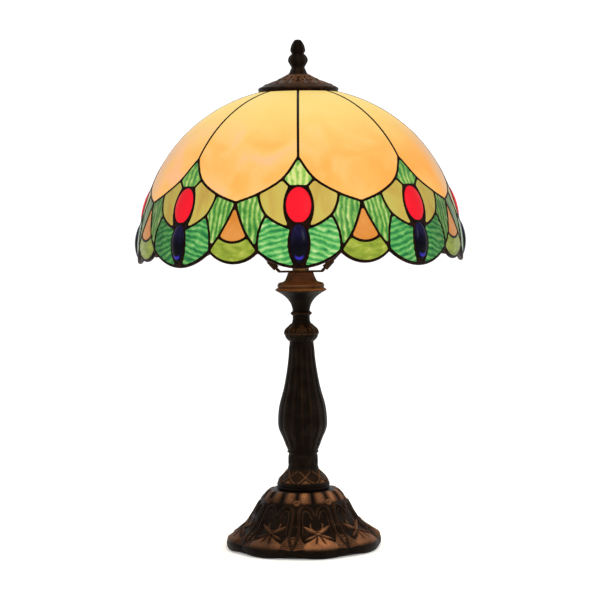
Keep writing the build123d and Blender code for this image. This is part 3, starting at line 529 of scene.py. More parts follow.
def bay_outlines():
    """Outline of each kind of pane, with the azimuth of its middle and whether it is a pair."""
    panel_left = turn(PANEL_FOOT, -BAY / 2)
    lower = joined(line((-BAY / 2, CROWN_EL), (-BAY / 2, J_TOP[1])), panel_left,
                   flip(panel_left)[::-1], line((BAY / 2, J_TOP[1]), (BAY / 2, CROWN_EL)),
                   line((BAY / 2, CROWN_EL), (-BAY / 2, CROWN_EL)))
    kite_side = PANEL_FOOT[PANEL_FOOT[:, 0] <= J_KITE[0] + 0.01]
    kite_half = np.vstack([kite_side, line(J_KITE, J_GEM)[1:]])
    kite = joined(kite_half, arc(J_GEM, GEM_TOP, flip([J_GEM])[0]), flip(kite_half)[::-1])
    olive_top = PANEL_FOOT[(PANEL_FOOT[:, 0] >= J_KITE[0] - 0.01) & (PANEL_FOOT[:, 0] <= J_OLIVE[0] + 0.01)]
    olive = joined(np.vstack([[J_KITE], olive_top, [J_OLIVE]]), OLIVE_SIDE, OLIVE_FOOT, OLIVE_GEM,
                   line(J_GEM, J_KITE))
    shoulder_top = PANEL_FOOT[PANEL_FOOT[:, 0] >= J_OLIVE[0] - 0.01]
    shoulder = joined(np.vstack([[J_OLIVE], shoulder_top]), DART_SIDE, VALLEY_LINE, DIVIDER[::-1],
                      OLIVE_SIDE[::-1])
    wing = joined(OLIVE_FOOT[::-1], DIVIDER, WING_FOOT, WING_GEM)
    dart_side = turn(DART_SIDE, -BAY / 2)
    dart = joined(dart_side, turn(DART_FOOT, -BAY / 2), flip(dart_side)[::-1])
    valley = turn(VALLEY_LINE, -BAY / 2)
    lime = joined(turn(DART_FOOT, -BAY / 2), flip(valley), turn(LIME_FOOT, -BAY / 2)[::-1], valley[::-1])
    return {
        "peach_panels": (lower, BAY / 2, False, 3.4), "green_kites": (kite, 0, False, 1.6),
        "olive_wings": (olive, 0, True, 1.8), "green_shoulders": (shoulder, 0, True, 1.3),
        "green_wings": (wing, 0, True, 1.3), "peach_darts": (dart, BAY / 2, False, 1.8),
        "lime_scallops": (lime, BAY / 2, False, 1.8),
    }


def to_chart(points):
    """Azimuth and elevation as flat millimetres across and up."""
    azimuth, elevation = np.asarray(points, float).T
    return np.stack([azimuth * np.cos(np.radians(elevation)), elevation], 1) * MM_PER_DEGREE


def from_chart(flat):
    """Azimuth and elevation of points laid out by to_chart."""
    elevation = flat[:, 1] / MM_PER_DEGREE
    return flat[:, 0] / MM_PER_DEGREE / np.cos(np.radians(elevation)), elevation


# ---- flat sheets
def inside(points, outline):
    """Which points lie inside a closed outline."""
    x, y = points[:, 0], points[:, 1]
    result = np.zeros(len(points), bool)
    for (x1, y1), (x2, y2) in zip(outline, np.roll(outline, -1, 0)):
        if y1 != y2:
            crosses = (y1 > y) != (y2 > y)
            result ^= crosses & (x < (x2 - x1) * (y - y1) / (y2 - y1) + x1)
    return result


def fill(loops, pitch):
    """Even triangles inside the first loop and outside the others."""
    outer, holes = loops[0], loops[1:]
    low, high = outer.min(0), outer.max(0)
    rows = []
    for k, y in enumerate(np.arange(low[1], high[1], pitch * 0.866)):
        x = np.arange(low[0] + (k % 2) * pitch / 2, high[0], pitch)
        rows.append(np.stack([x, np.full(len(x), y)], 1))
    grid = np.vstack(rows)
    border = np.vstack(loops)
    keep = inside(grid, outer)
    for hole in holes:
        keep &= ~inside(grid, hole)
    grid = grid[keep]
    clear = np.min(np.linalg.norm(grid[:, None] - border[None], axis=2), axis=1) > pitch * 0.6
    points = np.vstack([border, grid[clear]])
    edges, start = [], 0
    for loop in loops:
        count = len(loop)
        edges += [(start + k, start + (k + 1) % count) for k in range(count)]
        start += count
    found = delaunay_2d_cdt([Vector(p) for p in points], edges, [], 0, 1e-5)
    points, triangles = np.array([tuple(v) for v in found[0]]), np.array(found[2])
    middle = points[triangles].mean(1)
    keep = inside(middle, outer)
    for hole in holes:
        keep &= ~inside(middle, hole)
    return points, triangles[keep]


def sheet(points, triangles, front, back):
    """Faces of a closed sheet whose front and back skins share one flat pattern."""
    count = len(points)
    edges = np.vstack([triangles[:, [0, 1]], triangles[:, [1, 2]], triangles[:, [2, 0]]])
    rim = edges[~np.isin(edges[:, 0] * count + edges[:, 1], edges[:, 1] * count + edges[:, 0])]
    walls = np.stack([rim[:, 1], rim[:, 0], rim[:, 0] + count, rim[:, 1] + count], 1)
    faces = triangles.tolist() + (triangles[:, ::-1] + count).tolist() + walls.tolist()
    return np.vstack([front, back]), faces


def gather(parts):
    """Many (vertices, faces, vectors) as one."""
    vertices, faces, values, start = [], [], [], 0
    for part_vertices, part_faces, part_values in parts:
        vertices.append(part_vertices)
        faces += [[corner + start for corner in face] for face in part_faces]
        values.append(part_values)
        start += len(part_vertices)
    return np.vstack(vertices), faces, np.concatenate(values)


def tube(ring, closed=False):
    """Faces of a tube through rings of points, as (rings, sides, 3), with flat ends unless closed."""
    count, sides = ring.shape[:2]
    faces = []
    for i in range(count if closed else count - 1):
        for j in range(sides):
            a, b = i * sides, (i + 1) % count * sides
            faces.append([a + j, a + (j + 1) % sides, b + (j + 1) % sides, b + j])
    if not closed:
        faces += [list(range(sides))[::-1], [(count - 1) * sides + k for k in range(sides)]]
    return ring.reshape(-1, 3), faces, np.zeros(count * sides)


# ---- the shade
GLASS_FRONT, GLASS_BACK = 0.8, 3.6          # depths of the glass under the dome's outer skin
# height, pitch and angle of the ripples in rolled glass
RIPPLE = {"green_shoulders": (0.20, SHOULDER_PITCH, pi / 2), "green_wings": (0.22, WING_PITCH, WING_SLANT),
          "green_kites": (0.14, KITE_PITCH, pi / 2)}


def ripples(node, local, seed):
    """How far rolled glass stands proud of its skin, for each point of one pane."""
    if node not in RIPPLE:
        return np.zeros(len(local))
    height, pitch, angle = RIPPLE[node]
    across = local[:, 1] * cos(angle) + local[:, 0] * sin(angle)
    wander = np.array([noise.noise(Vector((u * 0.06, v * 0.06, seed))) for u, v in local])
    return height * np.sin(across * 2 * pi / pitch + 7 * wander) * (0.6 + 0.4 * wander)


def make_panes(glass):
    """Every pane of each kind, as one piece for each kind."""
    for node, (outline, middle, paired, pitch) in bay_outlines().items():
        flat, triangles = fill([to_chart(outline)], pitch)
        azimuth, elevation = from_chart(flat)
        parts = []
        for bay in range(BAYS):
            for side in ((1, -1) if paired else (1,)):
                seed = 3.7 * bay + (1.9 if side < 0 else 0.0)
                at = (azimuth + middle) * side + bay * BAY
                lift = ripples(node, flat, seed)
                skins = (on_dome(at, elevation, GLASS_FRONT - lift), on_dome(at, elevation, GLASS_BACK))
                order = triangles if side > 0 else triangles[:, ::-1]
                vertices, faces = sheet(flat, order, *skins)
                values = np.column_stack([flat, np.full(len(flat), seed)])
                parts.append((vertices, faces, np.vstack([values, values])))
        vertices, faces, values = gather(parts)
        material, slot = glass[node]
        piece = new_piece(node + "_glass", vertices, faces, "shade", material, node)
        give(piece, "pane", values)


def make_jewels(glass):
    """Domed oval jewels: a rounded front, a slim girdle and a flat back."""
    for node, place, rise in (("red_ovals", RED, 3.0), ("blue_ovals", BLUE, 3.6)):
        _, elevation, half_w, half_h = place
        rings, count = 16, 56
        tilt = np.linspace(0, pi / 2, rings + 1)[1:]
        angle = full_turn(count)
        spread = np.sin(tilt)[:, None]
        across = (spread * np.cos(angle) * half_w).ravel()
        up = (spread * np.sin(angle) * half_h).ravel()
        proud = np.repeat(rise * np.cos(tilt), count)
        across, up = np.append(across, 0), np.append(up, 0)
        proud = np.append(proud, rise)
        tip = rings * count
        faces = [[tip, k, (k + 1) % count] for k in range(count)]
        for r in range(rings - 1):
            near, far = r * count, (r + 1) * count
            for k in range(count):
                after = (k + 1) % count
                faces.append([near + k, far + k, far + after, near + after])
        faces += [[f + tip + 1 for f in reversed(face)] for face in faces]
        edge = (rings - 1) * count
        faces += [[edge + k, edge + k + tip + 1, edge + (k + 1) % count + tip + 1, edge + (k + 1) % count]
                  for k in range(count)]
        parts = []
        for bay in range(BAYS):
            at = across + bay * BAY
            front = on_dome(at, elevation + up, 1.3 - proud)
            back = on_dome(at, elevation + up, 3.4)
            values = np.column_stack([across / half_w, up / half_h, proud / rise])
            parts.append((np.vstack([front, back]), faces, np.vstack([values, values * (1, 1, 0)])))
        vertices, faces, values = gather(parts)
        material, slot = glass[node]
        piece = new_piece(node + "_jewels", vertices, faces, "shade", material, node)
        give(piece, "pane", values)


BEAD_SIDES = 12


def bead(path, half_width, closed=False):
    """A solder bead along a seam: a tube of oval section, closed at its ends."""
    path = np.asarray(path, float)
    centre = on_dome(path[:, 0], path[:, 1], LEAD_DEPTH)
    outward = on_dome(path[:, 0], path[:, 1], LEAD_DEPTH - 1) - centre
    if closed:
        ahead = np.roll(centre, -1, 0) - np.roll(centre, 1, 0)
    else:
        ahead = np.gradient(centre, axis=0)
    side = np.cross(outward, ahead)
    side /= np.linalg.norm(side, axis=1)[:, None]
    angle = full_turn(BEAD_SIDES)
    ring = centre[:, None] + half_width * np.cos(angle)[:, None] * side[:, None]
    return tube(ring + LEAD_DEPTH * np.sin(angle)[:, None] * outward[:, None], closed)


def solder_blob(place, radius):
    """A low rounded lump where seams meet."""
    centre = on_dome(*place, LEAD_DEPTH)
    outward = on_dome(*place, LEAD_DEPTH - 1) - centre
    ball = bpy.data.meshes.new("ball")
    shape = bmesh.new()
    bmesh.ops.create_icosphere(shape, subdivisions=2, radius=1.0)
    shape.to_mesh(ball)
    shape.free()
    points = np.array([v.co for v in ball.vertices])
    faces = [list(p.vertices) for p in ball.polygons]
    bpy.data.meshes.remove(ball)
    along = points @ outward
    stretched = points * radius + np.outer(along * (LEAD_DEPTH + 0.15 - radius), outward)
    return centre + stretched, faces, np.zeros(len(points))


def make_leading(material):
    """The patinated solder net between the panes."""
    plain, slim, heavy = 1.78, 1.72, 1.85
    ring_room = 0.25                        # the rings stand this many degrees outside the jewels
    rings = [oval(0, o[1], o[2] + ring_room, o[3] + ring_room) for o in (RED, BLUE)]
    middle = [(line((0, CROWN_EL + 0.4), J_TOP), slim), (arc(J_GEM, GEM_TOP, (-J_GEM[0], J_GEM[1])), plain),
              (line(J_SWAG, (-J_SWAG[0], J_SWAG[1]), 0.3), plain), (DART_FOOT, plain), (LIME_FOOT, plain)]
    sides = [PANEL_FOOT, line(J_KITE, J_GEM), OLIVE_SIDE, OLIVE_FOOT, OLIVE_GEM, DIVIDER, DART_SIDE,
             VALLEY_LINE, WING_FOOT, WING_GEM]
    joints = [J_TOP, J_TIP, (0, J_WAIST[1] + 1.2), (0, J_SWAG[1] + 0.6)]
    side_joints = [J_KITE, J_OLIVE, J_HIP, J_DART, J_VALLEY, J_GEM]
    parts = []
    for bay in range(BAYS):
        at = bay * BAY
        parts += [bead(turn(path, at), width) for path, width in middle]
        parts += [bead(turn(path, at), plain) for path in sides]
        parts += [bead(turn(flip(path), at), plain) for path in sides]
        parts += [bead(turn(ring, at), heavy, closed=True) for ring in rings]
        parts += [solder_blob((x + at, y), 1.75) for x, y in joints]
        parts += [solder_blob((x * side + at, y), 1.75) for x, y in side_joints for side in (1, -1)]
    vertices, faces, _ = gather(parts)
    net = new_piece("shade_leading", vertices, faces, "shade", material, "shade_lattice")
    fuse(net, 0.9, 3)


def fuse(piece, voxel, smoothing):
    """Turns overlapping solids into one skin, in place."""
    remesh = piece.modifiers.new("fuse", "REMESH")
    remesh.mode = "VOXEL"
    remesh.voxel_size = voxel * MM
    remesh.use_smooth_shade = True
    smooth = piece.modifiers.new("smooth", "SMOOTH")
    smooth.factor = 0.5
    smooth.iterations = smoothing
    apply_modifiers(piece)


def apply_modifiers(piece):
    """Makes the modified mesh the piece's own, and keeps its material."""
    bpy.context.view_layer.update()
    graph = bpy.context.evaluated_depsgraph_get()
    mesh = bpy.data.meshes.new_from_object(piece.evaluated_get(graph))
    material = piece.data.materials[0]
    piece.modifiers.clear()
    piece.data = mesh
    mesh.materials.clear()
    mesh.materials.append(material)


# ---- relief drawing
def near_path(x, y, path):
    """Distance from each point to a polyline."""
    path = np.asarray(path, float)
    best = np.full(x.shape, 1e9)
    for (x1, y1), (x2, y2) in zip(path[:-1], path[1:]):
        dx, dy = x2 - x1, y2 - y1
        t = np.clip(((x - x1) * dx + (y - y1) * dy) / (dx * dx + dy * dy + 1e-12), 0, 1)
        best = np.minimum(best, np.hypot(x - x1 - t * dx, y - y1 - t * dy))
    return best


def ridge(distance, half_width):
    """A rounded ridge's height, 0 to 1, over the distance from its middle line."""
    return np.sqrt(np.clip(1 - (distance / half_width) ** 2, 0, 1))


def petal(x, y, foot, tip, half_width):
    """A pointed leaf's height, 0 to 1, lying between two points."""
    dx, dy = tip[0] - foot[0], tip[1] - foot[1]
    length = np.hypot(dx, dy)
    t = ((x - foot[0]) * dx + (y - foot[1]) * dy) / length ** 2
    across = np.abs((x - foot[0]) * dy - (y - foot[1]) * dx) / length
    width = half_width * np.sin(pi * np.clip(t, 0, 1)) ** 0.75
    return np.where((t > 0) & (t < 1), np.clip(1 - across / (width + 1e-6), 0, 1), 0) ** 0.7


class Relief:
    """Height in millimetres and copper share, built up layer by layer."""

    def __init__(self, shape, share=0.0):
        self.height = np.zeros(shape)
        self.copper = np.full(shape, share)

    def raise_to(self, form, height, copper):
        """form is 0..1. It stands out where it is higher than what is already there."""
        level = form * height
        higher = level > self.height
        self.height = np.where(higher, level, self.height)
        blend = np.clip(form * 1.6, 0, 1)
        mixed = self.copper * (1 - blend) + copper * blend
        self.copper = np.where(higher & (form > 0.02), mixed, self.copper)

    def line(self, x, y, path, half_width, height, copper):
        """A rounded ridge along a polyline."""
        self.raise_to(ridge(near_path(x, y, path), half_width), height, copper)

    def cut(self, form, depth, copper=0.0):
        """Sinks the surface where form, 0..1, is high."""
        self.height = self.height - form * depth
        self.copper = self.copper * (1 - form) + copper * form


# ---- the cast stand
# profiles are (radius, height) rows. The stand's castings are bored for the lamp pipe.
BORE_R = 5.1
FOOT_SKIN = [(27, 54), (33, 51.6), (40.6, 41.6), (47.4, 30.3), (53.8, 21.4), (62.4, 15), (70.6, 9.8)]
FOOT_LIP = [(70.6, 9.8), (72, 7), (71.8, 2.8), (70.4, 0.6)]
FOOT_INSIDE = [(12, 54), (12, 52), (BORE_R, 52), (BORE_R, 47.5), (29, 47.5), (36.6, 39.8), (43.2, 28.6),
               (48.5, 19), (57, 11.2), (65.5, 5), (65.5, 0.6)]
MOTIF_TURN = 13.5                 # azimuth of one lily of the foot
HEART = [(0.6, 27), (2.6, 21.8), (6.4, 18.4), (10.6, 18.6), (13.6, 22.4), (15.2, 28), (15.8, 34), (17, 42),
         (19.5, 49.5), (23, 56.5), (26.6, 62)]
HEART_INNER = [(3.2, 30), (4.6, 25.0), (7.6, 22.2), (10.4, 23.6), (11.9, 28.5), (12.4, 35), (13.4, 41),
               (15.2, 46.5)]


def foot_relief(x, s, half):
    """The foot's ornament over one eighth: x across from the lily, s down from the top edge,
    half the eighth's half width there, all in millimetres."""
    side = np.abs(x)
    edge = half - side                       # distance from the boundary between two lilies
    r = Relief(x.shape, 0.0)
    # sixteen short copper leaves around the top
    leaf_width = half / 2
    leaf = np.abs((side + leaf_width) % (2 * leaf_width) - leaf_width)
    body = smoothstep(0.4, 3.0, leaf) * smoothstep(1, 4, s) * smoothstep(17, 11, s)
    r.raise_to(body, 1.0, 0.3 + 0.65 * smoothstep(1.5, leaf_width * 0.9, leaf))
    # the heart-shaped scroll and its inner line
    outer = curve_through(HEART, 60)
    inner = curve_through(HEART_INNER, 40)
    field = smoothstep(0, 2.5, np.interp(s, outer[:, 1], outer[:, 0]) - side)
    field = field * smoothstep(23, 26, s) * smoothstep(52, 48, s)
    r.cut(field, 0.55, 0.05)
    r.line(side, s, outer, 1.7, 1.5, 0.16)
    r.line(side, s, inner, 0.9, 0.8, 0.22)
    for offset in ((-2.3, 1.2), (2.4, -0.8)):
        r.cut(ridge(near_path(side, s, outer + offset), 0.8) * smoothstep(20, 26, s), 0.7)
    # crosshatched ground, a ring boss and a stem between two hearts
    hatch = np.abs(np.sin((edge + s) * 1.35)) * np.abs(np.sin((edge - s) * 1.35))
    ground = smoothstep(6.5, 4.5, edge) * smoothstep(15, 18, s) * smoothstep(38, 33, s)
    r.raise_to(ground * (0.35 + 0.65 * smoothstep(0.25, 0.6, hatch)), 0.6, 0.05)
    boss = np.hypot(edge, s - 14.5)
    r.raise_to(ridge(np.abs(boss - 2.1), 0.95), 1.3, 0.7)
    r.raise_to(ridge(boss, 0.9), 1.0, 0.7)
    r.line(edge, s, [(0, 36), (0, 47)], 1.3, 0.9, 0.06)
    tendril = curve_through([(0.5, 36), (3.6, 40), (4.4, 46), (8.0, 53)], 24)
    r.line(edge, s, tendril, 0.8, 0.7, 0.35)
    # fan of scales above the rim
    fan = smoothstep(0.5, 2.0, s - (49.5 + 0.11 * edge ** 1.6))
    fan = fan * smoothstep(64.6, 63, s) * smoothstep(13, 11, edge)
    row = (s - 49) / 2.5
    stagger = (np.floor(row) % 2) * 0.5
    cell_x = (edge / 2.9 + stagger + 0.5) % 1 - 0.5
    cell_y = row % 1 - 0.5
    scale = np.sqrt(np.clip(1 - (cell_x * 1.9) ** 2 - (cell_y * 1.7) ** 2, 0, 1))
    r.raise_to(fan * scale, 0.95, 0.62)
    r.line(edge, s, [(0, 48.6), (5.4, 51.2), (9.5, 56)], 0.9, 0.9, 0.5)
    # smooth shell below the lily, slit by dark gashes
    spread = 3.0 + 13.5 * smoothstep(47, 60, s)
    shell = smoothstep(0, 3.2, spread - side) * smoothstep(47, 50, s)
    shell = shell * smoothstep(66.5, 62.5, s + side * 0.06)
    r.raise_to(shell ** 0.6, 1.7, 1.0)
    for tip in ((4.6, 60), (11.5, 55.5)):
        r.cut(petal(side, s, (0.8, 46.5), tip, 1.5), 1.5)
    # lily: two pairs of curled petals, two short ones and a button
    r.raise_to(petal(side, s, (0.2, 45.6), (12.6, 36.6), 2.1), 1.8, 0.85)
    r.raise_to(petal(side, s, (0.2, 46), (13.5, 52.8), 1.6), 2.0, 0.8)
    curl = curve_through([(0, 42.6), (3.2, 41.4), (5.6, 38.0), (5.4, 34.6)], 16)
    r.line(side, s, curl, 0.75, 0.9, 0.6)
    r.raise_to(ridge(np.hypot(x, s - 45.6), 2.0), 2.0, 0.75)
    return r


def with_cell(azimuth, radius, repeats, turned):
    """Distance across from the nearest motif's middle, and half the motif's width there."""
    cell = 2 * pi / repeats
    local = (azimuth - radians(turned) + cell / 2) % cell - cell / 2
    return local * radius, cell / 2 * radius


def make_foot(material):
    """The bell-shaped foot with a scalloped rim, hollow underneath."""
    skin = curve_through(FOOT_SKIN, 128)
    lip = curve_through(FOOT_LIP, 14)
    profile = np.vstack([lip[::-1], skin[::-1][1:], FOOT_INSIDE])
    step = np.linalg.norm(np.diff(skin, axis=0), axis=1)
    down = np.concatenate([[0], np.cumsum(step)])
    length = down[-1]
    lip_step = np.linalg.norm(np.diff(lip, axis=0), axis=1)
    lip_down = length + np.concatenate([[0], np.cumsum(lip_step)])
    s_row = np.concatenate([lip_down[::-1], down[::-1][1:], np.full(len(FOOT_INSIDE), -99.0)])

    def shape(azimuth, row):
        s = s_row[row]
        x, half = with_cell(azimuth, profile[row, 0], 8, MOTIF_TURN)
        relief = foot_relief(x, s, half)
        scallop = -3.0 * (1 - np.abs(np.cos((azimuth - radians(MOTIF_TURN)) * 4)) ** 0.8)
        fade = smoothstep(1.0, 3.5, s) * smoothstep(length + 2.5, length - 1.5, s)
        push = relief.height * fade + scallop * smoothstep(48, 62, s)
        seen = s > -50
        return np.where(seen, push, 0), np.where(seen, relief.copper * smoothstep(length + 3, length, s), 0)

    turned_piece("foot_casting", profile, 576, shape, "stand", material, "base_foot", 60)


def make_column(material):
    """Collar with crossed leaves, a plain ring, and a reeded vase."""
    collar = curve_through([(24.4, 58.2), (23.6, 60.6), (20, 65.6), (15.4, 71), (13.4, 77), (13.2, 84.6)], 44)
    vase = curve_through([(13.9, 89.5), (17.4, 99.6), (21.4, 109), (22.3, 117.3), (20.9, 131), (16.6, 147),
                          (13.6, 163), (11.8, 177), (11, 190)], 120)
    foot_ring = [(20, 54), (23.2, 54), (24.3, 55.0), (24.5, 56.4), (23.8, 57.4)]
    neck = [(13.0, 86.6), (13.6, 87.4), (14.5, 88.2), (14.3, 89.1)]
    profile = np.vstack([foot_ring, collar, neck, vase, [(BORE_R, 190), (BORE_R, 54)]])
    height = profile[:, 1]

    def shape(azimuth, row):
        z = height[row]
        outside = profile[row, 0] > 6
        reed = np.abs(np.cos(azimuth * 8))
        fluted = smoothstep(89.5, 96, z) * smoothstep(189, 183, z) * outside
        fine = np.abs(np.cos(azimuth * 16 + 0.6))
        push = fluted * (0.75 * reed ** 0.8 - 0.55 + 0.18 * fine)
        copper = fluted * smoothstep(0.9, 1.0, reed) * 0.15
        x, half = with_cell(azimuth, profile[row, 0], 8, 6.0)
        side = np.abs(x)
        level = (z - 60.5) * 1.45            # roughly the distance up the collar's slope
        leaf = Relief(side.shape, 0.12)
        leaf.line(side, level, [(7.6, 1.2), (4.2, 3.6), (0.0, 8.4)], 0.85, 1.0, 0.55)
        leaf.line(side, level, [(0, 8.4), (2.2, 12), (4.6, 15)], 0.75, 0.8, 0.5)
        point = smoothstep(0, 1.6, 5.6 - level * 0.95 - side) * smoothstep(0.4, 1.5, level)
        leaf.raise_to(point, 0.6, 0.6)
        cross = ridge(near_path(side, level, [(half.mean(), 1.0), (0.0, 7.5), (-4.5, 14.5)]), 0.8)
        leaf.raise_to(cross * 0.4, 0.5, 0.4)
        band = smoothstep(60.3, 61.3, z) * smoothstep(75, 72, z) * outside
        arch = np.abs(np.sin(azimuth * 8))
        upper = smoothstep(76, 77.5, z) * smoothstep(87, 85.5, z) * outside
        push = push + band * (leaf.height - 0.2) + upper * 0.5 * ridge(np.abs((z - 78) / 6 - arch), 0.25)
        copper = copper + band * leaf.copper + upper * 0.08
        return push, copper

    turned_piece("column_casting", profile, 352, shape, "stand", material, "column_vase", 50)


def make_knop(material):
    """The small leafy ball above the vase."""
    skin = curve_through([(10.8, 190), (12.6, 191.4), (14.6, 194.2), (15.5, 198.0), (14.4, 201.2),
                          (11.4, 204.0), (9.2, 206.4), (8.6, 208)], 44)
    profile = np.vstack([skin, [(BORE_R, 208), (BORE_R, 190)]])

    def shape(azimuth, row):
        z = profile[row, 1]
        outside = profile[row, 0] > 6
        x, half = with_cell(azimuth, profile[row, 0], 8, 2.0)
        side = np.abs(x)
        leaf = Relief(side.shape, 0.03)
        leaf.raise_to(petal(side, z, (0.0, 196.4), (0.9, 206.5), 2.9), 0.9, 0.18)
        leaf.line(side, z, [(half.mean(), 198.6), (3.6, 202.2), (0.0, 197.6)], 0.7, 0.7, 0.3)
        leaf.raise_to(ridge(z - 197.4, 0.8), 0.4, 0.5)
        lower = smoothstep(197, 195.5, z) * np.abs(np.cos(azimuth * 8))
        fade = smoothstep(190.2, 192, z) * smoothstep(207.6, 206, z)
        return outside * fade * (leaf.height - 0.25 + 0.35 * lower), outside * leaf.copper * fade

    turned_piece("knop_casting", profile, 256, shape, "stand", material, "column_knop", 55)


def make_cup(material, cover_material):
    """The socket cup below the shade, and the stepped cover over it."""
    cup = np.vstack([
        [(8.3, 208)],
        curve_through([(8.0, 210), (7.9, 213.2), (8.4, 214.4)], 10),
        curve_through([(9.3, 214.9), (9.9, 216.0), (9.3, 217.1)], 8),
        curve_through([(8.3, 217.6), (8.0, 219.4), (9.4, 224.6), (12.8, 229.6), (17.4, 233.5),
                       (22.6, 236.6)], 40),
        [(23.5, 237.1), (23.6, 237.7), (23.1, 238.4), (22.4, 238.9), (21.4, 239.2), (21.2, 240.0),
         (21.3, 240.5), (21.6, 241.0), (21.5, 242.2), (21.0, 243.0)],
        [(19.4, 243.0), (19.4, 240), (14, 232), (BORE_R, 228), (BORE_R, 208)],
    ])

    def cup_shape(azimuth, row):
        z, radius = cup[row, 1], cup[row, 0]
        copper = smoothstep(236.2, 237.4, z) * 0.75 + ridge(z - 216, 1.2) * 0.3
        return np.zeros(z.shape), np.where(radius > 7, copper, 0)

    turned_piece("cup_casting", cup, 160, cup_shape, "stand", material, "socket_cup", 35)

    cover = np.vstack([
        [(19.2, 243.0), (20.9, 243.1), (20.8, 243.8), (19.0, 244.4)],
        curve_through([(16.2, 245.0), (14.6, 246.4), (13.4, 248.8), (12.3, 251.4)], 20),
        [(12.3, 252.2), (11.8, 252.9), (11.2, 253.6), (BORE_R, 253.6), (BORE_R, 251), (9, 250), (12, 246),
         (18, 243.0)],
    ])

    def cover_shape(azimuth, row):
        return np.zeros(row.shape), np.where(cover[row, 0] > 9, 0.8, 0.0)

    turned_piece("cover_turning", cover, 144, cover_shape, "stand", cover_material, "cup_cover",
                 35)


# ---- heat cap and finial
CAP_R = 36.7
CAP_RAYS = 16
# rings of openings: radius, half length, half width, and shift in steps of a ray
CAP_OPENINGS = [(14.6, 2.6, 1.35, 0.0), (20.8, 2.5, 1.9, 0.5), (26.6, 1.7, 2.5, 0.0)]


def cap_height(radius):
    return np.interp(radius, [0, 8.6, 12, 17, 24.4, 32, 35.8, 36.7],
                     [434.6, 434.6, 432.8, 430.2, 427.1, 424.0, 422.2, 421.2])


def make_cap(material):
    """A shallow pierced cone: rings of leaf-shaped and round openings inside a plain rim."""
    turn_step = full_turn(180)
    circle = np.stack([np.cos(turn_step), np.sin(turn_step)], 1)
    loops = [circle * CAP_R, circle[::3] * 3.3]
    ray = full_turn(20)
    openings = []
    for k in range(CAP_RAYS):
        for radius, half_r, half_t, shift in CAP_OPENINGS:
            angle = (k + shift) * 2 * pi / CAP_RAYS
            r = radius + half_r * np.cos(ray)
            t = half_t * np.sin(ray) * (1 - 0.35 * np.cos(ray))
            openings.append(np.stack([r * cos(angle) - t * sin(angle), r * sin(angle) + t * cos(angle)], 1))
    flat, triangles = fill(loops + openings, 1.1)
    radius = np.hypot(flat[:, 0], flat[:, 1])
    azimuth = np.arctan2(flat[:, 1], flat[:, 0])
    border = np.arange(len(flat)) >= len(loops[0]) + len(loops[1])
    border &= np.arange(len(flat)) < sum(len(loop) for loop in loops + openings)
    ridges = 0.35 * np.cos(azimuth * CAP_RAYS + pi) * smoothstep(9, 13, radius) * smoothstep(31, 28, radius)
    steps = 0.7 * ridge(radius - 30.4, 0.9) + 0.5 * ridge(radius - 10.6, 0.9)
    steps = steps + 0.45 * ridge(radius - 17.7, 0.6)
    rise = ridges + steps
    front = np.column_stack([flat, cap_height(radius) + rise])
    back = np.column_stack([flat, cap_height(radius) - 1.2])
    vertices, faces = sheet(flat, triangles, front, back)
    cap = new_piece("cap_casting", vertices, faces, "shade", material, "heat_cap", 50)
    # copper on the openings' rims is a painted glint; on the ridges and steps it is partly rubbed wear,
    # partly painted glint
    rubbed = np.clip(0.24 + rise * 0.5 + border * 0.9, 0, 1)
    give(cap, "relief", np.concatenate([rubbed, rubbed * 0.4]))


def make_finial(material):
    """A lobed knob with a smaller one on top."""
    skin = curve_through([(9.0, 434.7), (7.7, 436.4), (6.1, 439.2), (5.8, 441.0), (7.2, 443.6), (8.7, 446.8),
                          (7.7, 450.2), (5.4, 452.9), (6.0, 454.6), (6.5, 456.2), (5.8, 459.8), (4.3, 463.4),
                          (2.8, 465.4), (0.4, 466)], 96)
    profile = np.vstack([skin, [(0.2, 443.2), (3.15, 442.4), (3.15, 434.7)]])

    def shape(azimuth, row):
        z, radius = profile[row, 1], profile[row, 0]
        outside = np.arange(len(profile))[row] < len(skin)
        lobed = np.abs(np.cos(azimuth * 4)) - 0.5
        zone = smoothstep(436, 438, z) * smoothstep(465, 461, z)
        fade = np.clip(radius / 7, 0, 1)
        return outside * lobed * zone * fade * 0.8, outside * np.clip(0.05 + lobed * 0.12, 0, 1)

    turned_piece("finial_casting", profile, 160, shape, "finial", material, "finial", 60)


# ---- felt and cord
def make_felt(material):
    """A pressed felt disc with a soft, slightly uneven edge and a nap."""
    radius, top, bottom = radius_of("felt_pad"), top_of("felt_pad"), bottom_of("felt_pad")
    middle = (top + bottom) / 2
    outline = curve_through([(radius - 3, bottom), (radius - 0.8, bottom + 0.2), (radius - 0.1, middle),
                             (radius - 0.7, top - 0.2), (radius - 3, top)], 16)
    floor_rows = [(r, bottom) for r in np.linspace(0.3, radius - 6, 24)]
    roof_rows = [(r, top) for r in np.linspace(radius - 6, 0.3, 10)]
    profile = np.vstack([floor_rows, outline, roof_rows])

    def shape(azimuth, row):
        r, z = profile[row, 0], profile[row, 1]
        at = np.stack([r * np.cos(azimuth), r * np.sin(azimuth), z], -1)
        nap = [noise.noise(Vector(p) * 0.35) for p in at.reshape(-1, 3)]
        return -0.12 + 0.12 * np.reshape(nap, row.shape), np.zeros(row.shape)

    vertices, faces, _ = lathe(profile, 192, shape)
    new_piece("felt_base", vertices, faces, "stand", material, "felt_pad", 70)


def arc_around(centre, start_angle, end_angle, radius, count=10):
    """Points of a level arc. Angles are in degrees, anticlockwise from +X."""
    angle = np.radians(np.linspace(start_angle, end_angle, count))
    x, y, z = centre
    return np.stack([x + radius * np.cos(angle), y + radius * np.sin(angle), np.full(count, z)], 1)


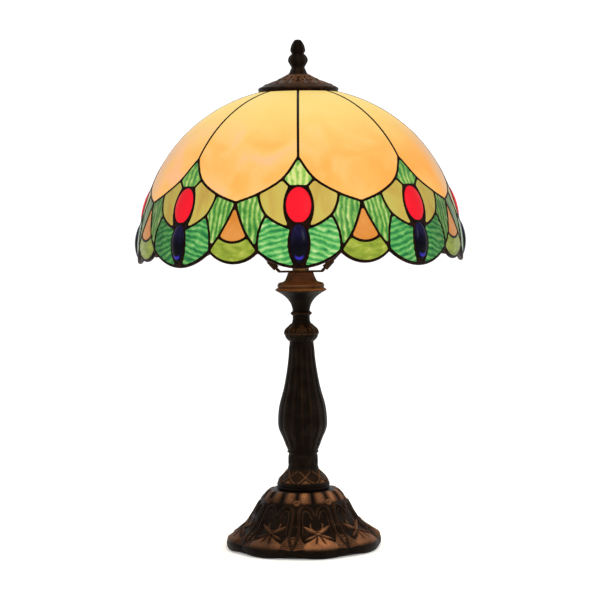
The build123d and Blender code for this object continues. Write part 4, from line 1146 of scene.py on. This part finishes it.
CORD_R = 2.6
CORD_Z, TABLE_CORD_Z = 7.0, 2.7
CORD_BEND = 22.0
SWITCH_Y = (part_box("switch_base")[0].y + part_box("switch_base")[1].y) / 2 / MM
SWITCH_REACH = 20.0                # the cord ends this far from the switch's middle, inside it
RUN = 18.0                         # distance between the folded cord's runs
PLUG_Y = SWITCH_Y + 97.0


SECOND_BEND_R = 14.0
RUN_LEFT, RUN_RIGHT = -34.0, 26.0  # where the runs turn back


def cord_paths():
    """Middle lines of the cord: lampholder to switch, and switch to plug."""
    down = np.radians(np.linspace(0, 90, 12))
    bend = [(0, CORD_BEND * (1 - cos(t)), CORD_Z + CORD_BEND * (1 - sin(t))) for t in down]
    inner = np.vstack([[(0, 0, 267.0), (0, 0, 150.0)], bend,
                       [(0, 70, CORD_Z), (0, SWITCH_Y - SWITCH_REACH, CORD_Z)]])
    first_run = SWITCH_Y + 61
    t = np.linspace(0, 1, 12)[:, None]
    ease = smoothstep(0, 1, t)
    sag = np.hstack([0 * t, SWITCH_Y + 30 + 17 * t, CORD_Z + (TABLE_CORD_Z - CORD_Z) * ease])
    rise = np.hstack([RUN_LEFT + 18 * t, PLUG_Y + 0 * t, TABLE_CORD_Z + (CORD_Z - TABLE_CORD_Z) * ease])
    tail = np.vstack([
        [(0, SWITCH_Y + SWITCH_REACH, CORD_Z)], sag,
        arc_around((SECOND_BEND_R, first_run - SECOND_BEND_R, TABLE_CORD_Z), 180, 90, SECOND_BEND_R)[1:],
        arc_around((RUN_RIGHT, first_run + RUN / 2, TABLE_CORD_Z), -90, 90, RUN / 2, 16),
        arc_around((RUN_LEFT, (first_run + RUN + PLUG_Y) / 2, TABLE_CORD_Z), 270, 90,
                   (PLUG_Y - first_run - RUN) / 2, 16),
        rise[1:], [(-4, PLUG_Y, CORD_Z)],
    ])
    return inner, tail


def even_path(points, step):
    """The same path with points at an even step."""
    length = np.concatenate([[0], np.cumsum(np.linalg.norm(np.diff(points, axis=0), axis=1))])
    at = np.linspace(0, length[-1], max(8, int(length[-1] / step)))
    return np.column_stack([np.interp(at, length, points[:, k]) for k in range(3)])


def make_cord(material):
    """Braided lamp cord: a tube with a woven surface, along the CAD cord's path."""
    sides = 20
    parts = []
    for path in cord_paths():
        centre = even_path(path, 0.9)
        ahead = np.gradient(centre, axis=0)
        ahead /= np.linalg.norm(ahead, axis=1)[:, None]
        frame_side = np.array([1.0, 0.0, 0.0]) if abs(ahead[0, 0]) < 0.5 else np.array([0.0, 1.0, 0.0])
        sides_at = []
        for direction in ahead:
            frame_side = frame_side - direction * (frame_side @ direction)
            frame_side = frame_side / np.linalg.norm(frame_side)
            sides_at.append(frame_side)
        side = np.array(sides_at)
        other = np.cross(ahead, side)
        angle = full_turn(sides)
        turn_along = np.arange(len(centre))[:, None] * 0.42
        weave = 0.09 * np.sin(5 * angle + turn_along * 2.2) * np.sin(5 * angle - turn_along * 2.2)
        radius = (CORD_R - 0.1 + weave)[..., None]
        ring = centre[:, None] + radius * (np.cos(angle)[None, :, None] * side[:, None]
                                           + np.sin(angle)[None, :, None] * other[:, None])
        parts.append(tube(ring))
    vertices, faces, _ = gather(parts)
    new_piece("braided_cord", vertices, faces, "stand", material, "power_cord", 60)


# ---- materials of the other pieces
def patina(name):
    """Solder darkened to a warm near-black, with a little bare metal sheen."""
    n = Nodes(name)
    place = n.place()
    cloud = n.noise(place, 0.18, 4)
    grain = n.noise(place, 1.6, 4, 0.65)
    colour = n.mix(n.span(cloud, 0.35, 0.7), srgb(12, 7, 5), srgb(32, 15, 9))
    return n.surface(Base_Color=colour, Roughness=n.span(grain, 0.25, 0.75, 0.36, 0.56),
                     Specular_IOR_Level=0.08, Specular_Tint=srgb(150, 110, 90),
                     Normal=n.bump(grain, 0.09, 0.6))


def felt_cloth(name):
    """Green felt with loose fibres."""
    n = Nodes(name)
    place = n.place()
    fibre = n.noise(place, 3.2, 6, 0.75, 1.4)
    cloud = n.noise(place, 0.07, 3)
    colour = n.mix(n.span(cloud, 0.3, 0.7), srgb(22, 62, 40), srgb(34, 80, 52))
    colour = n.mix(n.span(fibre, 0.45, 0.75, 0.0, 0.5), colour, srgb(66, 110, 80))
    return n.surface(Base_Color=colour, Roughness=0.95, Sheen_Weight=0.35, Sheen_Roughness=0.5,
                     Specular_IOR_Level=0.1, Normal=n.bump(fibre, 0.25, 0.9))


def braid_cloth(name):
    """Brown braided thread."""
    n = Nodes(name)
    place = n.place()
    thread = n.noise(place, 1.9, 5, 0.75)
    cloud = n.noise(place, 0.05, 2)
    colour = n.mix(n.span(cloud, 0.3, 0.7), srgb(40, 27, 20), srgb(54, 37, 27))
    colour = n.mix(n.span(thread, 0.5, 0.75, 0.0, 0.6), colour, srgb(92, 66, 48))
    return n.surface(Base_Color=colour, Roughness=0.8, Sheen_Weight=0.25, Normal=n.bump(thread, 0.12, 0.8))


def bulb_envelope(name):
    """Softly frosted glass, bright with the filament's light."""
    n = Nodes(name)
    frost = n.noise(n.place(), 0.8, 3)
    facing = n.facing(0.45)
    tint = n.ramp(n.span(facing, 0.0, 0.9), [(0.0, srgb(206, 140, 78)), (0.45, srgb(250, 206, 134)),
                                             (1.0, srgb(255, 240, 200))])
    return n.surface(Base_Color=srgb(60, 50, 38), Roughness=n.span(frost, 0.3, 0.7, 0.22, 0.34),
                     Specular_IOR_Level=0.1, Emission_Color=tint, Emission_Strength=0.95)


def glowing_wire(name):
    """A filament at working heat."""
    n = Nodes(name)
    flicker = n.noise(n.place(), 1.5, 2)
    tint = n.mix(flicker, srgb(255, 178, 84), srgb(255, 226, 160))
    return n.surface(Base_Color=srgb(90, 80, 70), Roughness=0.5, Emission_Color=tint, Emission_Strength=12.0)


def glazed(name, base, fleck):
    """Porcelain or vitrified glass under a thin glaze."""
    n = Nodes(name)
    cloud = n.noise(n.place(), 0.3, 3)
    return n.surface(Base_Color=n.mix(n.span(cloud, 0.35, 0.7), base, fleck), Roughness=0.18, Coat_Weight=0.4,
                     Coat_Roughness=0.08, Normal=n.bump(cloud, 0.05, 0.3))


def dress_cad_nodes(copper_bronze, leading):
    """Materials of the CAD pieces that are shown as they are."""
    steel = plated("plain_steel", srgb(150, 150, 152), srgb(112, 108, 104), 0.32, brushed=0.12)
    brass = plated("antique_brass", srgb(128, 92, 52), srgb(88, 60, 34), 0.34, brushed=0.08)
    nickel = plated("nickel", srgb(196, 190, 180), srgb(150, 142, 132), 0.2, brushed=0.05)
    iron = plated("cast_iron", srgb(62, 60, 60), srgb(86, 62, 48), 0.62, 0.6)
    jacket = moulded("wire_insulation", srgb(30, 27, 26), srgb(44, 39, 36), 0.45)
    switch = moulded("switch_plastic", srgb(30, 22, 18), srgb(40, 30, 24), 0.34)
    dressing = {
        copper_bronze: ["harp_saddle", "harp_bow", "left_ferrule", "right_ferrule"],
        leading: ["crown_ring"],
        steel: ["bottom_plate", "plate_screws", "lamp_pipe", "pipe_washer", "rocker_pin", "switch_screws",
                "bulb_contact"],
        iron: ["ballast_ring"],
        brass: ["pipe_nut", "saddle_nut", "harp_stud", "socket_cap", "socket_shell", "socket_screw_shell",
                "socket_contact", "terminal_screws", "crown_spider"],
        nickel: ["bulb_cap", "plug_pins"],
        moulded("vulcanised_fibre", srgb(150, 128, 98), srgb(122, 98, 72), 0.6): ["socket_liner"],
        glazed("porcelain", srgb(236, 232, 222), srgb(222, 214, 200)): ["socket_insulator"],
        glazed("black_glass", srgb(16, 15, 18), srgb(28, 26, 30)): ["bulb_insulator"],
        jacket: ["lead_wires"],
        bulb_envelope("bulb_glass"): ["bulb_glass"],
        glazed("stem_glass", srgb(214, 216, 210), srgb(196, 200, 196)): ["bulb_stem"],
        glowing_wire("filament"): ["bulb_filaments"],
        moulded("grommet_rubber", srgb(18, 17, 17), srgb(28, 26, 25), 0.62, 0.1): ["cord_grommet"],
        switch: ["switch_base", "switch_cover", "plug_body"],
        moulded("rocker_plastic", srgb(54, 42, 34), srgb(66, 52, 42), 0.26): ["switch_rocker"],
    }
    for material, nodes in dressing.items():
        for node in nodes:
            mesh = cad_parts[node].data
            mesh.materials.clear()
            mesh.materials.append(material)


# ---- stage, lights and camera
def make_stage():
    """A pale floor that curves up into a wall behind the lamp."""
    n = Nodes("pale_floor")
    mottle = n.noise(n.place(), 0.004, 2)
    colour = n.mix(mottle, srgb(243, 243, 242), srgb(250, 250, 250))
    material = n.surface(Base_Color=colour, Roughness=0.9, Specular_IOR_Level=0.1,
                         Emission_Color=colour, Emission_Strength=0.31)
    low = cad_box[0][2]
    reach, bend, wall, half_width = 4.0, 1.2, 3.2, 6.0      # metres
    section = [(-reach, low), (reach - bend, low)]
    for t in np.linspace(0.1, pi / 2, 14):
        section.append((reach - bend + bend * sin(t), low + bend * (1 - cos(t))))
    section.append((reach, low + wall))
    vertices = [(x, y, z) for x in (-half_width, half_width) for y, z in section]
    count = len(section)
    faces = [(k, k + count, k + count + 1, k + 1) for k in range(count - 1)]
    mesh = bpy.data.meshes.new("floor")
    mesh.from_pydata(vertices, [], faces)
    mesh.polygons.foreach_set("use_smooth", [True] * len(faces))
    mesh.materials.append(material)
    floor = bpy.data.objects.new("floor", mesh)
    bpy.context.scene.collection.objects.link(floor)


def add_light(name, place, target, size, power):
    """A round soft box that the camera does not see."""
    light = bpy.data.lights.new(name, "AREA")
    light.shape = "DISK"
    light.size = size
    light.energy = power
    lamp = bpy.data.objects.new(name, light)
    lamp.location = place
    lamp.rotation_euler = (Vector(target) - Vector(place)).to_track_quat("-Z", "Y").to_euler()
    bpy.context.scene.collection.objects.link(lamp)
    lamp.visible_camera = False


def make_lights():
    """A white room that is bright to the eye but gives a gentle light, three soft boxes and the
    bulb's own glow."""
    world = bpy.data.worlds.new("studio")
    world.use_nodes = True
    tree = world.node_tree
    tree.nodes.clear()
    seen = tree.nodes.new("ShaderNodeLightPath")
    strength = tree.nodes.new("ShaderNodeMapRange")
    strength.inputs["To Min"].default_value = 0.76      # what the room gives the lamp
    strength.inputs["To Max"].default_value = 1.02      # what the camera sees
    background = tree.nodes.new("ShaderNodeBackground")
    background.inputs[0].default_value = (1, 1, 1, 1)
    output = tree.nodes.new("ShaderNodeOutputWorld")
    tree.links.new(seen.outputs["Is Camera Ray"], strength.inputs[0])
    tree.links.new(strength.outputs[0], background.inputs[1])
    tree.links.new(background.outputs[0], output.inputs[0])
    bpy.context.scene.world = world
    middle = (0, 0, 0.2)
    add_light("key", (1.2, -1.7, 1.4), middle, 1.0, 22)
    add_light("fill", (-1.5, -1.3, 0.9), middle, 1.3, 4)
    add_light("back", (-0.3, 1.9, 1.2), middle, 1.4, 4)
    glow = bpy.data.lights.new("bulb_glow", "POINT")
    glow.energy = 2.2
    glow.color = (1.0, 0.72, 0.42)
    glow.shadow_soft_size = 0.03
    lamp = bpy.data.objects.new("bulb_glow", glow)
    lamp.location = Vector(BULB_CENTRE) * MM
    bpy.context.scene.collection.objects.link(lamp)


def make_camera():
    """A long lens a little above the lamp's middle, looking slightly down."""
    camera = bpy.data.cameras.new("camera")
    camera.lens = 116.465
    camera.sensor_width = 36.0
    camera.clip_end = 30
    eye = bpy.data.objects.new("camera", camera)
    distance, height = 1.7801, 0.3311
    around, down, roll, aside = radians(0.4), radians(3.312), radians(-0.75), radians(0.03)
    turn_about = Matrix.Rotation(around, 4, "Z")
    place = turn_about @ Vector((0, -distance, height))
    aim = turn_about @ Matrix.Rotation(aside, 4, "Z") @ Matrix.Rotation(pi / 2 - down, 4, "X")
    eye.matrix_world = Matrix.Translation(place) @ aim @ Matrix.Rotation(roll, 4, "Z")
    bpy.context.scene.collection.objects.link(eye)
    bpy.context.scene.camera = eye


# ---- everything
cast = bronze("cast_bronze", (srgb(9, 7, 6), srgb(21, 16, 12)), (srgb(126, 84, 55), srgb(178, 122, 84)), 0.98)
copper = bronze("copper_bronze", (srgb(42, 28, 21), srgb(58, 38, 29)),
                (srgb(104, 68, 52), srgb(128, 88, 68)), 0.6)
leading = patina("solder_patina")
glass_materials = make_glass()

make_panes(glass_materials)
make_jewels(glass_materials)
make_leading(leading)
make_foot(cast)
make_column(cast)
make_knop(cast)
make_cup(cast, copper)
make_cap(cast)
make_finial(cast)
make_felt(felt_cloth("felt"))
make_cord(braid_cloth("braid"))
dress_cad_nodes(copper, leading)

for node in ("bulb_glass", "bulb_filaments"):
    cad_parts[node].visible_shadow = False

make_stage()
make_lights()
make_camera()
bpy.context.scene.view_settings.view_transform = "Standard"
